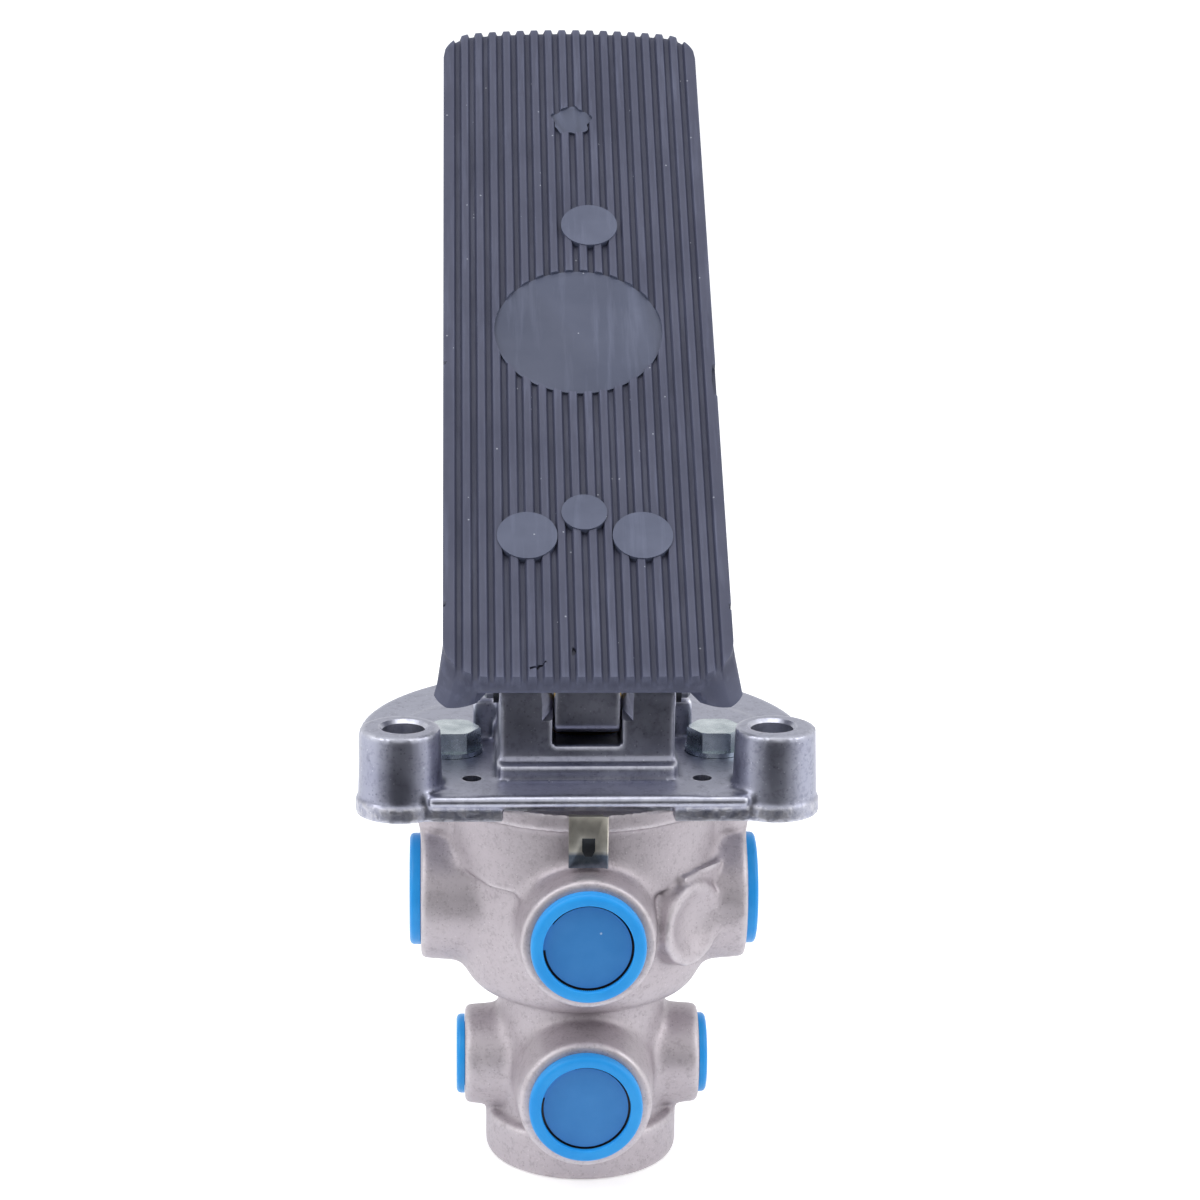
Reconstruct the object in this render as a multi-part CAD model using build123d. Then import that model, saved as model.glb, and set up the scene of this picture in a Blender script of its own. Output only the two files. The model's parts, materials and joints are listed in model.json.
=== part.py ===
from build123d import *
import math
import os

# Foot brake valve: a treadle on a cast base plate works a dual-circuit air valve below it.
# Millimetres. The origin is on the valve's axis, in the plane of the mounting face.
# +X is to the right, +Y runs from the heel of the treadle towards its toe, +Z is up.

# Base plate
PLATE_RADIUS = 60.5
PLATE_BACK = 17.0
FRONT_RADIUS = 56.0
PLATE_TOP = 7.0
PLATE_FRONT = 38.0
LIP_HEIGHT = 2.7
LIP_PROUD = 1.2
LIP_ROUND = 1.0
EAR_COUNT = 3
EAR_PCD = 110.0
EAR_OUTWARD = 1.0
EAR_DIAMETER = 20.7
EAR_FOOT_DIAMETER = 22.1
EAR_BAND_DIAMETER = 23.2
EAR_BAND_HEIGHT = 4.3
EAR_TOP = 22.7
EAR_HOLE = 11.0
EAR_CHAMFER = 1.0
RECESS_DEPTH = 1.5
RECESS_SLOT = 44.0
FRONT_SLOT_TOP = 4.0
FRONT_SLOT_DEPTH = 5.0
GAUGE_HOLE = 5.0
GAUGE_HOLE_DEPTH = 4.0
GAUGE_HOLE_X = 30.0
GAUGE_HOLE_Y = -24.0

# Tower of the base plate, with the treadle's hinge
TOWER_WIDTH = 45.6
TOWER_FRONT = 23.5
TOWER_BACK = 14.0
TOWER_BACK_TOP = 20.0
TOWER_CROWN = 3.7
TOWER_CROWN_BACK = 2.5
SKIRT_PROUD = 3.0
SKIRT_SIDE = 0.5
SKIRT_TOP = 15.5
CHANNEL_WIDTH = 18.0
CHANNEL_FLOOR = 16.0
NOTCH_WIDTH = 23.7
NOTCH_DEPTH = 3.0
NOTCH_FLOOR = 22.7
NOTCH_RISE = 2.6
DRUM_RADIUS = 31.5
DRUM_TOP = 18.6
DRUM_FRONT = 9.5
WELL_DIAMETER = 27.0
WELL_FLOOR = 13.0
HINGE_Y = -17.3
HINGE_Z = 31.3
HINGE_PIN = 8.0
HINGE_PIN_END = 4.0
CHEEK_RADIUS = 6.2

# Treadle and its rubber pad
TREADLE_ANGLE = 35.3
TREADLE_TRAVEL = 18.0
PAD_LENGTH = 248.0
PAD_WIDTH = 75.0
PAD_HEIGHT = 14.6
HEEL_LENGTH = 11.2
PAD_THICKNESS = 4.5
DISC_SUNK = 0.8
DISC_PROUD = 0.4
TOE_CORNER = 9.0
HEEL_CORNER = 12.0
TOE_CROWN = 3.0
SKIRT_WALL = 3.0
PAD_LIP = 4.0
PAD_LIP_THICKNESS = 1.8
HEEL_DRAFT = 1.7
HEEL_EDGE = 1.5
HEEL_OPENING = 60.0
LOBE_LENGTH = 14.0
LOBE_PROUD = 1.2
LOBE_HEIGHT = 5.0
MEDALLION_DIAMETER = 46.6
MEDALLION_FROM_HEEL = 124.0
TREADLE_THICKNESS = 3.0
TREADLE_RIB = 4.0
TREADLE_RIB_DEPTH = 7.0
TREADLE_RIB_SPACING = 30.0
TREADLE_RIB_START = 32.0
TREADLE_RIB_END = 222.0
CROSS_RIBS = 4
LUG_FRONT = 5.2
LUG_DROP = 12.8
LUG_BACK = 5.0
LUG_LEAN = 1.0
HINGE_BUSH_WALL = 1.0
LUG_SIDE_GAP = 0.3

# Roller
ROLLER_ARM = 17.5
ROLLER_DIAMETER = 12.0
ROLLER_WIDTH = 9.0
ROLLER_PIN = 5.0
ROLLER_EYE = 10.0
ROLLER_ROOM = 1.0

# Plunger, its bush, boot and spring seat
PLUNGER_STEM = 12.0
PLUNGER_CAP = 18.0
PLUNGER_CAP_HEIGHT = 3.0
BUSH_DIAMETER = 16.0
BUSH_COLLAR = 20.0
BUSH_COLLAR_HEIGHT = 1.5
CHAMBER_DIAMETER = 30.0
CHAMBER_TOP = 8.0
SEAT_DIAMETER = 26.0
SEAT_THICKNESS = 3.0
SEAT_SCREW = 5.0
SEAT_SCREW_HEAD = 8.5
SEAT_SCREW_HEAD_HEIGHT = 3.0
SEAT_SCREW_GRIP = 7.5
BOOT_WALL = 1.0
BOOT_FOLDS = 3
BOOT_DIAMETER = 22.0

# Flange bolts
BOLT_SPACING = 70.0
BOLT_DIAMETER = 8.0
BOLT_HEAD_FLATS = 13.0
BOLT_HEAD_HEIGHT = 5.3
BOLT_CROWN = 0.5
BOLT_CROWN_SLOPE = 1.7
BOLT_TIP = 2.0
WASHER_DIAMETER = 16.0
WASHER_THICKNESS = 1.6

# Valve body, outside
FLANGE_RADIUS = 37.0
FLANGE_THICKNESS = 5.0
BOLT_LUG_RADIUS = 10.0
BOLT_LUG_BOTTOM = -12.8
BOLT_LUG_ROUND = 3.5
COLLAR_RADIUS = 34.2
COLLAR_BOTTOM = -22.4
BARREL_RADIUS = 33.0
BARREL_BOTTOM = -58.0
BARREL_ROUND = 10.0
NECK_RADIUS = 22.5
FOOT_RADIUS = 25.9
FOOT_TOP = -94.6
FOOT_CHAMFER = 2.0
BODY_BOTTOM = -106.0
FOOT_ROUND = 4.0
BOSS_ROUND = 1.8
BOSS_DRAFT = 0.07
BLIND_BOSS_RADIUS = 11.2
BLIND_BOSS_REACH = 38.5
BLIND_BOSS_TURN = 47.0
BLIND_BOSS_Z = -32.4
BLIND_DISH_RADIUS = 16.0
BLIND_DISH_DEPTH = 2.0
WEB_FACE = 37.0
WEB_DEPTH = 10.0
WEB_TIP = (14.0, -18.8)
WEB_FOOT = (9.5, -25.5)
WEB_START = (0.0, -19.5)

# Ports
UPPER_PORT_Z = -31.7
UPPER_FRONT_FACE = 43.5
UPPER_SIDE_FACE = 43.5
LOWER_PORT_Z = -79.5
LOWER_FRONT_FACE = 36.0
LOWER_SIDE_FACE = 31.7
LARGE_BOSS_RADIUS = 17.5
UPPER_SIDE_BOSS_RADIUS = 18.5
SMALL_BOSS_RADIUS = 13.25
LARGE_THREAD = 20.4
LARGE_THREAD_LENGTH = 12.0
LARGE_COUNTERBORE = 24.6
SMALL_THREAD = 14.5
SMALL_THREAD_LENGTH = 10.0
SMALL_COUNTERBORE = 17.4
COUNTERBORE_DEPTH = 5.0
LARGE_CAP = 30.0
LARGE_CAP_PROUD = 3.0
LARGE_CAP_DISC = 23.6
SMALL_CAP = 21.5
SMALL_CAP_PROUD = 2.3
SMALL_CAP_DISC = 16.0
CAP_WALL = 1.2
CAP_PLUG_LENGTH = 4.4
CAP_RECESS = 1.6

# Valve body, inside
PISTON_BORE = 52.0
PISTON_BORE_BOTTOM = -20.0
DELIVERY_BORE = 44.0
UPPER_WEB_TOP = -30.7
WEB_THICKNESS = 3.5
WEB_HOLE = 17.0
SUPPLY_BORE = 40.0
SUPPLY_BOTTOM = -48.0
SHOULDER_BORE = 27.0
SHOULDER_THICKNESS = 2.0
RELAY_BORE = 30.0
LOWER_BORE = 33.0
LOWER_BORE_TOP = -79.0
EXHAUST_BORE = 40.0
EXHAUST_BORE_TOP = -100.5
UPPER_PASSAGE = 7.6
LOWER_PASSAGE = 6.0

# Pistons, valves and springs
PISTON_TOP = -3.0
PISTON_CROWN = -9.0
PISTON_BASE = -15.5
PISTON_CUP = 44.0
PISTON_STEM = 13.0
PISTON_STEM_BORE = 8.0
VALVE_DISC = 22.0
VALVE_DISC_THICKNESS = 4.0
VALVE_TUBE = 11.0
VALVE_TUBE_BORE = 6.0
EXHAUST_GAP = 1.4
UPPER_GUIDE_THICKNESS = 7.0
UPPER_VALVE_END = -60.0
RELAY_TOP = -64.0
RELAY_THICKNESS = 6.5
RELAY_STEM = 12.0
LOWER_WEB_THICKNESS = 3.5
LOWER_WEB_HOLE = 15.5
LOWER_GUIDE_TOP = -90.0
LOWER_GUIDE_THICKNESS = 6.5
LOWER_GUIDE_WALL = 2.0
LOWER_SPRING_POCKET = 4.0
LOWER_VALVE_DISC = 21.0
CIRCLIP_THICKNESS = 1.3
CIRCLIP_BITE = 1.2
CIRCLIP_MOUTH = 4.0
SHAFT_CLIP_MOUTH = 5.0
RING_SECTION = 2.4
FACE_SEAL_WALL = 1.2
RETURN_WIRE = 1.6
RETURN_SPRING = 26.0
VALVE_WIRE = 1.2
VALVE_SPRING = 15.0
RELAY_WIRE = 1.4
RELAY_SPRING = 18.0
SPRING_TURNS = 4
RUBBER_SPRING = 22.0
RUBBER_SPRING_HOLE = 10.0
RUBBER_SPRING_WAIST = 1.5
EXHAUST_COVER_THICKNESS = 2.5
EXHAUST_HOLES = 6
EXHAUST_HOLE = 5.0
EXHAUST_FLAP_THICKNESS = 1.5

# Clip
CLIP_WIDTH = 10.3
CLIP_THICKNESS = 0.8
CLIP_DROP = 14.0
CLIP_LEG = 6.0
CLIP_SLOT_WIDTH = 2.7
CLIP_SLOT_HEIGHT = 5.5
CLIP_SLOT_TOP = -6.0

# Clearances
RUNNING_FIT = 0.05
FIXED_FIT = 0.02
SEAT_GAP = 0.3
FREE_GAP = 0.4
CAP_GAP = 0.05
OVERRUN = 1.0

# Places worked out from the sizes above
LOW = (Align.CENTER, Align.CENTER, Align.MIN)
TILT = math.radians(TREADLE_ANGLE)
HALF_TRAVEL = math.radians(TREADLE_TRAVEL / 2)
TREADLE = Plane(
    origin=(0, HINGE_Y, HINGE_Z),
    x_dir=(1, 0, 0),
    z_dir=(0, -math.sin(TILT), math.cos(TILT)),
)
SIDE = Plane(origin=(0, 0, 0), x_dir=(0, 1, 0), z_dir=(1, 0, 0))
ROLLER_Y = HINGE_Y + ROLLER_ARM * math.cos(HALF_TRAVEL)
ROLLER_Z = HINGE_Z + ROLLER_ARM * math.sin(HALF_TRAVEL)
PLUNGER_TOP = ROLLER_Z - ROLLER_DIAMETER / 2 - SEAT_GAP
SEAT_TOP = CHAMBER_TOP - SEAT_GAP
SEAT_BOTTOM = SEAT_TOP - SEAT_THICKNESS
TREADLE_UNDERSIDE = PAD_HEIGHT - PAD_THICKNESS - TREADLE_THICKNESS
UPPER_WEB_BOTTOM = UPPER_WEB_TOP - WEB_THICKNESS
SHOULDER_BOTTOM = SUPPLY_BOTTOM - SHOULDER_THICKNESS
UPPER_VALVE_TOP = UPPER_WEB_BOTTOM - SEAT_GAP
PISTON_STEM_END = UPPER_VALVE_TOP + EXHAUST_GAP
UPPER_GUIDE_BOTTOM = SHOULDER_BOTTOM - UPPER_GUIDE_THICKNESS
RELAY_BASE = RELAY_TOP - RELAY_THICKNESS
LOWER_WEB_BOTTOM = LOWER_BORE_TOP - LOWER_WEB_THICKNESS
LOWER_VALVE_TOP = LOWER_WEB_BOTTOM - SEAT_GAP
RELAY_STEM_END = LOWER_VALVE_TOP + EXHAUST_GAP
LOWER_GUIDE_BOTTOM = LOWER_GUIDE_TOP - LOWER_GUIDE_THICKNESS
LOWER_VALVE_END = LOWER_GUIDE_BOTTOM - CIRCLIP_THICKNESS - SEAT_GAP


# Round spots on the pad: distance across, distance from the heel, diameter, whether proud
PAD_SPOTS = [
    (0.0, 209.0, 11.0, False),
    (4.0, 165.0, 16.0, True),
    (0.0, 57.0, 12.2, True),
    (-15.3, 49.0, 16.0, True),
    (15.3, 49.0, 16.0, True),
    (0.0, MEDALLION_FROM_HEEL, MEDALLION_DIAMETER, False),
]

FRONT = (0, -1, 0)
RIGHT = (1, 0, 0)
LEFT = (-1, 0, 0)


def disc(radius, low, high, x=0.0, y=0.0):
    """A round solid on a vertical axis, from one height to another."""
    return Pos(x, y, low) * Cylinder(radius, high - low, align=LOW)


def ring(outer, inner, low, high, x=0.0, y=0.0):
    """A tube on a vertical axis."""
    return disc(outer, low, high, x, y) - disc(inner, low - OVERRUN, high + OVERRUN, x, y)


def block(x_low, x_high, y_low, y_high, z_low, z_high):
    """A box given by its lowest and highest corners."""
    size = (x_high - x_low, y_high - y_low, z_high - z_low)
    return Pos(x_low, y_low, z_low) * Box(*size, align=(Align.MIN, Align.MIN, Align.MIN))


def across(radius, half_length, y, z):
    """A round bar along X."""
    return Pos(0, y, z) * Rot(0, 90, 0) * Cylinder(radius, 2 * half_length)


def side_plate(points, half_width):
    """A plate with an outline drawn in Y and Z, centred on X."""
    return extrude(SIDE * Polygon(*points, align=None), amount=half_width, both=True)


def radial(direction, z, distance):
    """The plane of a boss face: its normal points away from the valve's axis."""
    origin = (direction[0] * distance, direction[1] * distance, z)
    return Plane(origin=origin, z_dir=direction)


def lathe(points):
    """A solid turned about the valve's axis from an outline in radius and height."""
    return revolve(Plane.XZ * Polygon(*points, align=None), axis=Axis.Z)


def seal(bore, height):
    """A round-section ring that runs in a bore and sits in a groove."""
    section = RING_SECTION / 2
    return Pos(0, 0, height) * Torus(bore / 2 - RUNNING_FIT - section, section)


def groove(bore, height):
    """The groove for a seal, cut from the outside of a piston or guide."""
    half = RING_SECTION / 2 + RUNNING_FIT
    return ring(bore / 2 + OVERRUN, bore / 2 - 2 * half - RUNNING_FIT, height - half, height + half)


def circlip(bore, top):
    """An internal retaining ring with a gap for the pliers."""
    outer = bore / 2 + CIRCLIP_BITE - FIXED_FIT
    inner = bore / 2 - CIRCLIP_BITE
    half = CIRCLIP_MOUTH / 2
    low = top - CIRCLIP_THICKNESS
    whole = ring(outer, inner, low, top)
    gap = block(-half, half, 0, outer + OVERRUN, low - OVERRUN, top + OVERRUN)
    return whole - gap


def coil(diameter, wire, low, high):
    """A compression spring between two seats."""
    radius = (diameter - wire) / 2
    height = high - low - wire
    path = Pos(0, 0, low + wire / 2) * Helix(height / SPRING_TURNS, height, radius)
    start = Plane(origin=path @ 0, z_dir=path % 0)
    return sweep(start * Circle(wire / 2), path=path, is_frenet=True)


def ear_places(reach):
    """Three places evenly spaced at a distance from the axis, with one at the back."""
    for number in range(EAR_COUNT):
        angle = math.radians(90 + 360 * number / EAR_COUNT)
        yield reach * math.cos(angle), reach * math.sin(angle)


def bolt_places():
    """The two bolts that hold the valve body under the plate."""
    return [(-BOLT_SPACING / 2, 0), (BOLT_SPACING / 2, 0)]


def flange_outline(growth):
    """The body's flange seen from above, grown by a clearance."""
    shape = Circle(FLANGE_RADIUS + growth)
    for x, y in bolt_places():
        shape += Pos(x, y) * Circle(BOLT_LUG_RADIUS + growth)
    return shape


def plate_disc():
    """The round plate, cut straight at the front, with its rolled lip and three ears."""
    lip_low = PLATE_TOP - LIP_HEIGHT
    plate = disc(PLATE_RADIUS, 0, PLATE_TOP, 0, PLATE_BACK) + disc(FRONT_RADIUS, 0, PLATE_TOP)
    reach = 2 * PLATE_RADIUS
    plate -= block(-reach, reach, -reach, -PLATE_FRONT, -OVERRUN, PLATE_TOP + OVERRUN)
    half_front = math.sqrt(FRONT_RADIUS ** 2 - PLATE_FRONT ** 2)
    lip_front = -PLATE_FRONT - LIP_PROUD
    lip = block(-half_front, half_front, lip_front, -PLATE_FRONT + LIP_HEIGHT, lip_low, PLATE_TOP)
    lip = fillet(lip.edges().filter_by(Axis.X).group_by(Axis.Y)[0], LIP_ROUND)
    plate += lip
    for x, y in ear_places(EAR_PCD / 2 + EAR_OUTWARD):
        ear = Cone(EAR_FOOT_DIAMETER / 2, EAR_DIAMETER / 2, EAR_TOP, align=LOW)
        plate += Pos(x, y, 0) * ear
        plate += disc(EAR_BAND_DIAMETER / 2, 0, EAR_BAND_HEIGHT, x, y)
    return plate


def tower():
    """The block that carries the hinge, with its flared skirt and the drum behind it."""
    half = TOWER_WIDTH / 2
    buried = PLATE_TOP / 2
    profile = [
        (-TOWER_FRONT, buried),
        (-TOWER_FRONT, HINGE_Z),
        (HINGE_Y, HINGE_Z + TOWER_CROWN),
        (HINGE_Y + CHEEK_RADIUS, HINGE_Z + TOWER_CROWN_BACK),
        (TOWER_BACK, TOWER_BACK_TOP),
        (TOWER_BACK, buried),
    ]
    shape = side_plate(profile, half)
    shape += across(CHEEK_RADIUS, half, HINGE_Y, HINGE_Z)
    skirt_front = -TOWER_FRONT - SKIRT_PROUD
    skirt = [
        (skirt_front, buried),
        (skirt_front, SKIRT_TOP - SKIRT_PROUD),
        (-TOWER_FRONT, SKIRT_TOP),
        (TOWER_BACK, SKIRT_TOP),
        (TOWER_BACK, buried),
    ]
    shape += side_plate(skirt, half + SKIRT_SIDE)
    drum = disc(DRUM_RADIUS, buried, DRUM_TOP)
    shape += drum & block(-PLATE_RADIUS, PLATE_RADIUS, DRUM_FRONT, PLATE_RADIUS, 0, EAR_TOP)
    return shape


def tower_cuts():
    """The channel for the treadle's lug, the wide notch at its mouth and the plunger's well."""
    top = HINGE_Z + 2 * CHEEK_RADIUS
    reach = PLATE_RADIUS
    half = CHANNEL_WIDTH / 2
    cuts = block(-half, half, -reach, TOWER_BACK + OVERRUN, CHANNEL_FLOOR, top)
    notch_back = -TOWER_FRONT + NOTCH_DEPTH
    flare = Polygon(
        (-NOTCH_WIDTH / 2, -TOWER_FRONT),
        (NOTCH_WIDTH / 2, -TOWER_FRONT),
        (half, notch_back),
        (-half, notch_back),
        align=None,
    )
    above = side_plate(
        [
            (-TOWER_FRONT, NOTCH_FLOOR),
            (-TOWER_FRONT, top),
            (notch_back, top),
            (notch_back, NOTCH_FLOOR + NOTCH_RISE),
        ],
        NOTCH_WIDTH / 2,
    )
    cuts += (Pos(0, 0, NOTCH_FLOOR) * extrude(flare, amount=top - NOTCH_FLOOR)) & above
    cuts += disc(WELL_DIAMETER / 2, WELL_FLOOR, top)
    return cuts


def make_base_plate():
    """The casting that bolts to the floor, carries the treadle and holds the valve below it."""
    plate = plate_disc() + tower() - tower_cuts()
    plate -= across(HINGE_PIN / 2 + FIXED_FIT, TOWER_WIDTH, HINGE_Y, HINGE_Z)
    recess = extrude(flange_outline(SEAT_GAP), amount=RECESS_DEPTH)
    half_slot = RECESS_SLOT / 2
    recess += block(-half_slot, half_slot, -PLATE_RADIUS, -FLANGE_RADIUS / 2, 0, RECESS_DEPTH)
    slot_back = FRONT_SLOT_DEPTH - PLATE_FRONT
    recess += block(-half_slot, half_slot, -PLATE_RADIUS, slot_back, 0, FRONT_SLOT_TOP)
    plate -= recess
    plate -= disc(CHAMBER_DIAMETER / 2, -OVERRUN, CHAMBER_TOP)
    plate -= disc(BUSH_DIAMETER / 2 + FIXED_FIT, 0, WELL_FLOOR + OVERRUN)
    for x, y in bolt_places():
        plate -= disc(BOLT_DIAMETER / 2 + SEAT_GAP, -OVERRUN, PLATE_TOP + OVERRUN, x, y)
        plate -= disc(WASHER_DIAMETER / 2 + SEAT_GAP, PLATE_TOP, EAR_TOP + OVERRUN, x, y)
    for x, y in ear_places(EAR_PCD / 2):
        hole = disc(EAR_HOLE / 2, -OVERRUN, EAR_TOP + OVERRUN, x, y)
        mouth = Pos(x, y, EAR_TOP - EAR_CHAMFER) * Cone(
            EAR_HOLE / 2, EAR_HOLE / 2 + 2 * EAR_CHAMFER, 2 * EAR_CHAMFER, align=LOW
        )
        plate = plate - hole - mouth
    for x in (-GAUGE_HOLE_X, GAUGE_HOLE_X):
        hole_low = PLATE_TOP - GAUGE_HOLE_DEPTH
        plate -= disc(GAUGE_HOLE / 2, hole_low, PLATE_TOP + OVERRUN, x, GAUGE_HOLE_Y)
    return plate


def port_list():
    """Each port: name, direction, height, face distance, boss radius and whether it is large."""
    return [
        ("upper_front", FRONT, UPPER_PORT_Z, UPPER_FRONT_FACE, LARGE_BOSS_RADIUS, True),
        ("upper_left", LEFT, UPPER_PORT_Z, UPPER_SIDE_FACE, UPPER_SIDE_BOSS_RADIUS, True),
        ("upper_right", RIGHT, UPPER_PORT_Z, UPPER_SIDE_FACE, UPPER_SIDE_BOSS_RADIUS, True),
        ("lower_front", FRONT, LOWER_PORT_Z, LOWER_FRONT_FACE, LARGE_BOSS_RADIUS, True),
        ("lower_left", LEFT, LOWER_PORT_Z, LOWER_SIDE_FACE, SMALL_BOSS_RADIUS, False),
        ("lower_right", RIGHT, LOWER_PORT_Z, LOWER_SIDE_FACE, SMALL_BOSS_RADIUS, False),
    ]


def round_boss(reach, radius):
    """A round boss from the valve's axis out to its face, a little wider behind its rounded rim."""
    wide = radius + BOSS_DRAFT * reach
    solid = Cone(wide, radius, reach, align=(Align.CENTER, Align.CENTER, Align.MAX))
    return fillet(solid.edges().group_by(Axis.Z)[-1], BOSS_ROUND)


def port_cut(direction, z, face, large):
    """The counterbore and threaded hole of one port, cut from its face."""
    counterbore = LARGE_COUNTERBORE if large else SMALL_COUNTERBORE
    thread = LARGE_THREAD if large else SMALL_THREAD
    length = LARGE_THREAD_LENGTH if large else SMALL_THREAD_LENGTH
    deep = (Align.CENTER, Align.CENTER, Align.MAX)
    cut = Pos(0, 0, OVERRUN) * Cylinder(counterbore / 2, COUNTERBORE_DEPTH + OVERRUN, align=deep)
    cut += Pos(0, 0, OVERRUN) * Cylinder(thread / 2, COUNTERBORE_DEPTH + length + OVERRUN, align=deep)
    return radial(direction, z, face) * cut


def passage_offset(thread, diameter):
    """How far a drilling lies from its port's axis, just inside the end of the thread."""
    return (thread - diameter) / 2 - FREE_GAP


def passage(direction, z, diameter, reach):
    """A drilling from the end of a port in to the valve's bore."""
    deep = (Align.CENTER, Align.CENTER, Align.MAX)
    return radial(direction, z, reach) * Cylinder(diameter / 2, reach, align=deep)


def body_outside():
    """The casting's outer form."""
    flange_bottom = RECESS_DEPTH - FLANGE_THICKNESS
    shape = disc(FLANGE_RADIUS, flange_bottom, RECESS_DEPTH)
    shape += disc(COLLAR_RADIUS, COLLAR_BOTTOM, RECESS_DEPTH)
    barrel = disc(BARREL_RADIUS, BARREL_BOTTOM, RECESS_DEPTH)
    barrel = fillet(barrel.edges().group_by(Axis.Z)[0], BARREL_ROUND)
    shape += barrel
    shape += disc(NECK_RADIUS, FOOT_TOP - OVERRUN, BARREL_BOTTOM + BARREL_ROUND)
    foot = disc(FOOT_RADIUS, BODY_BOTTOM, FOOT_TOP)
    foot = fillet(foot.edges().group_by(Axis.Z)[0], FOOT_ROUND)
    foot = chamfer(foot.edges().group_by(Axis.Z)[-1], FOOT_CHAMFER)
    shape += foot
    for x, y in bolt_places():
        lug = disc(BOLT_LUG_RADIUS, BOLT_LUG_BOTTOM, RECESS_DEPTH, x, y)
        shape += fillet(lug.edges().group_by(Axis.Z)[0], BOLT_LUG_ROUND)
    for name, direction, z, face, radius, large in port_list():
        shape += radial(direction, z, face) * round_boss(face, radius)
    return shape + blind_boss() + boss_web()


def blind_plane(distance, z):
    """A plane square to the blind boss: x runs across it and y runs up."""
    turn = math.radians(BLIND_BOSS_TURN)
    out = (math.sin(turn), -math.cos(turn), 0)
    across = (math.cos(turn), math.sin(turn), 0)
    return Plane(origin=(distance * out[0], distance * out[1], z), x_dir=across, z_dir=out)


def blind_boss():
    """The round boss that no port is cut in, with its dished face."""
    boss = round_boss(BLIND_BOSS_REACH, BLIND_BOSS_RADIUS)
    boss -= Pos(0, 0, BLIND_DISH_RADIUS - BLIND_DISH_DEPTH) * Sphere(BLIND_DISH_RADIUS)
    return blind_plane(BLIND_BOSS_REACH, BLIND_BOSS_Z) * boss


def boss_web():
    """The small pointed web between the blind boss, the collar and the port beside them."""
    outline = Polygon(WEB_START, WEB_FOOT, WEB_TIP, align=None)
    return extrude(blind_plane(WEB_FACE, 0) * outline, amount=-WEB_DEPTH)


def body_cuts():
    """The stepped bore that holds the pistons and valves, with its grooves and passages."""
    top = RECESS_DEPTH + OVERRUN
    cuts = disc(PISTON_BORE / 2, PISTON_BORE_BOTTOM, top)
    cuts += disc(DELIVERY_BORE / 2, UPPER_WEB_TOP, top)
    cuts += disc(WEB_HOLE / 2, SUPPLY_BOTTOM, top)
    cuts += disc(SUPPLY_BORE / 2, SUPPLY_BOTTOM, UPPER_WEB_BOTTOM)
    cuts += disc(SHOULDER_BORE / 2, SHOULDER_BOTTOM - OVERRUN, SUPPLY_BOTTOM + OVERRUN)
    cuts += disc(RELAY_BORE / 2, LOWER_BORE_TOP - OVERRUN, SHOULDER_BOTTOM)
    cuts += disc(LOWER_BORE / 2, BODY_BOTTOM - OVERRUN, LOWER_BORE_TOP)
    cuts += disc(EXHAUST_BORE / 2, BODY_BOTTOM - OVERRUN, EXHAUST_BORE_TOP)
    for bore, height in ((RELAY_BORE, UPPER_GUIDE_BOTTOM), (LOWER_BORE, LOWER_GUIDE_BOTTOM)):
        cuts += disc(bore / 2 + CIRCLIP_BITE, height - CIRCLIP_THICKNESS, height)
    upper_end = UPPER_SIDE_FACE - COUNTERBORE_DEPTH - LARGE_THREAD_LENGTH + OVERRUN
    rise = passage_offset(LARGE_THREAD, UPPER_PASSAGE)
    cuts += passage(LEFT, UPPER_PORT_Z + rise, UPPER_PASSAGE, upper_end)
    cuts += passage(RIGHT, UPPER_PORT_Z + rise, UPPER_PASSAGE, upper_end)
    cuts += passage(FRONT, UPPER_PORT_Z - rise, UPPER_PASSAGE, upper_end)
    side_end = LOWER_SIDE_FACE - COUNTERBORE_DEPTH - SMALL_THREAD_LENGTH + OVERRUN
    side_rise = passage_offset(SMALL_THREAD, LOWER_PASSAGE)
    cuts += passage(LEFT, LOWER_PORT_Z + side_rise, LOWER_PASSAGE, side_end)
    cuts += passage(RIGHT, LOWER_PORT_Z + side_rise, LOWER_PASSAGE, side_end)
    front_end = LOWER_FRONT_FACE - COUNTERBORE_DEPTH - LARGE_THREAD_LENGTH + OVERRUN
    front_rise = passage_offset(LARGE_THREAD, LOWER_PASSAGE)
    cuts += passage(FRONT, LOWER_PORT_Z - front_rise, LOWER_PASSAGE, front_end)
    return cuts


def seal_groove_radius():
    """The middle of the face seal's groove in the body's flange."""
    return PISTON_BORE / 2 + FACE_SEAL_WALL + RING_SECTION / 2


def make_valve_body():
    """The single casting below the plate, with six ports."""
    body = body_outside() - body_cuts()
    for name, direction, z, face, radius, large in port_list():
        body -= port_cut(direction, z, face, large)
    middle = seal_groove_radius()
    half = RING_SECTION / 2 + RUNNING_FIT
    body -= ring(middle + half, middle - half, RECESS_DEPTH - RING_SECTION, RECESS_DEPTH + OVERRUN)
    for x, y in bolt_places():
        bolt_end = BOLT_LUG_BOTTOM - BOLT_TIP - SEAT_GAP
        body -= disc(BOLT_DIAMETER / 2 + FIXED_FIT, bolt_end, RECESS_DEPTH + OVERRUN, x, y)
    half_clip = CLIP_WIDTH / 2 + SEAT_GAP
    leg_low = RECESS_DEPTH - CLIP_THICKNESS - RUNNING_FIT
    leg_back = -FLANGE_RADIUS + CLIP_LEG
    body -= block(-half_clip, half_clip, -FLANGE_RADIUS - OVERRUN, leg_back, leg_low, RECESS_DEPTH + OVERRUN)
    return body


def make_body_seal_ring():
    """The ring that seals the body against the plate."""
    section = RING_SECTION / 2
    return Pos(0, 0, RECESS_DEPTH - section) * Torus(seal_groove_radius(), section)


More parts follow.
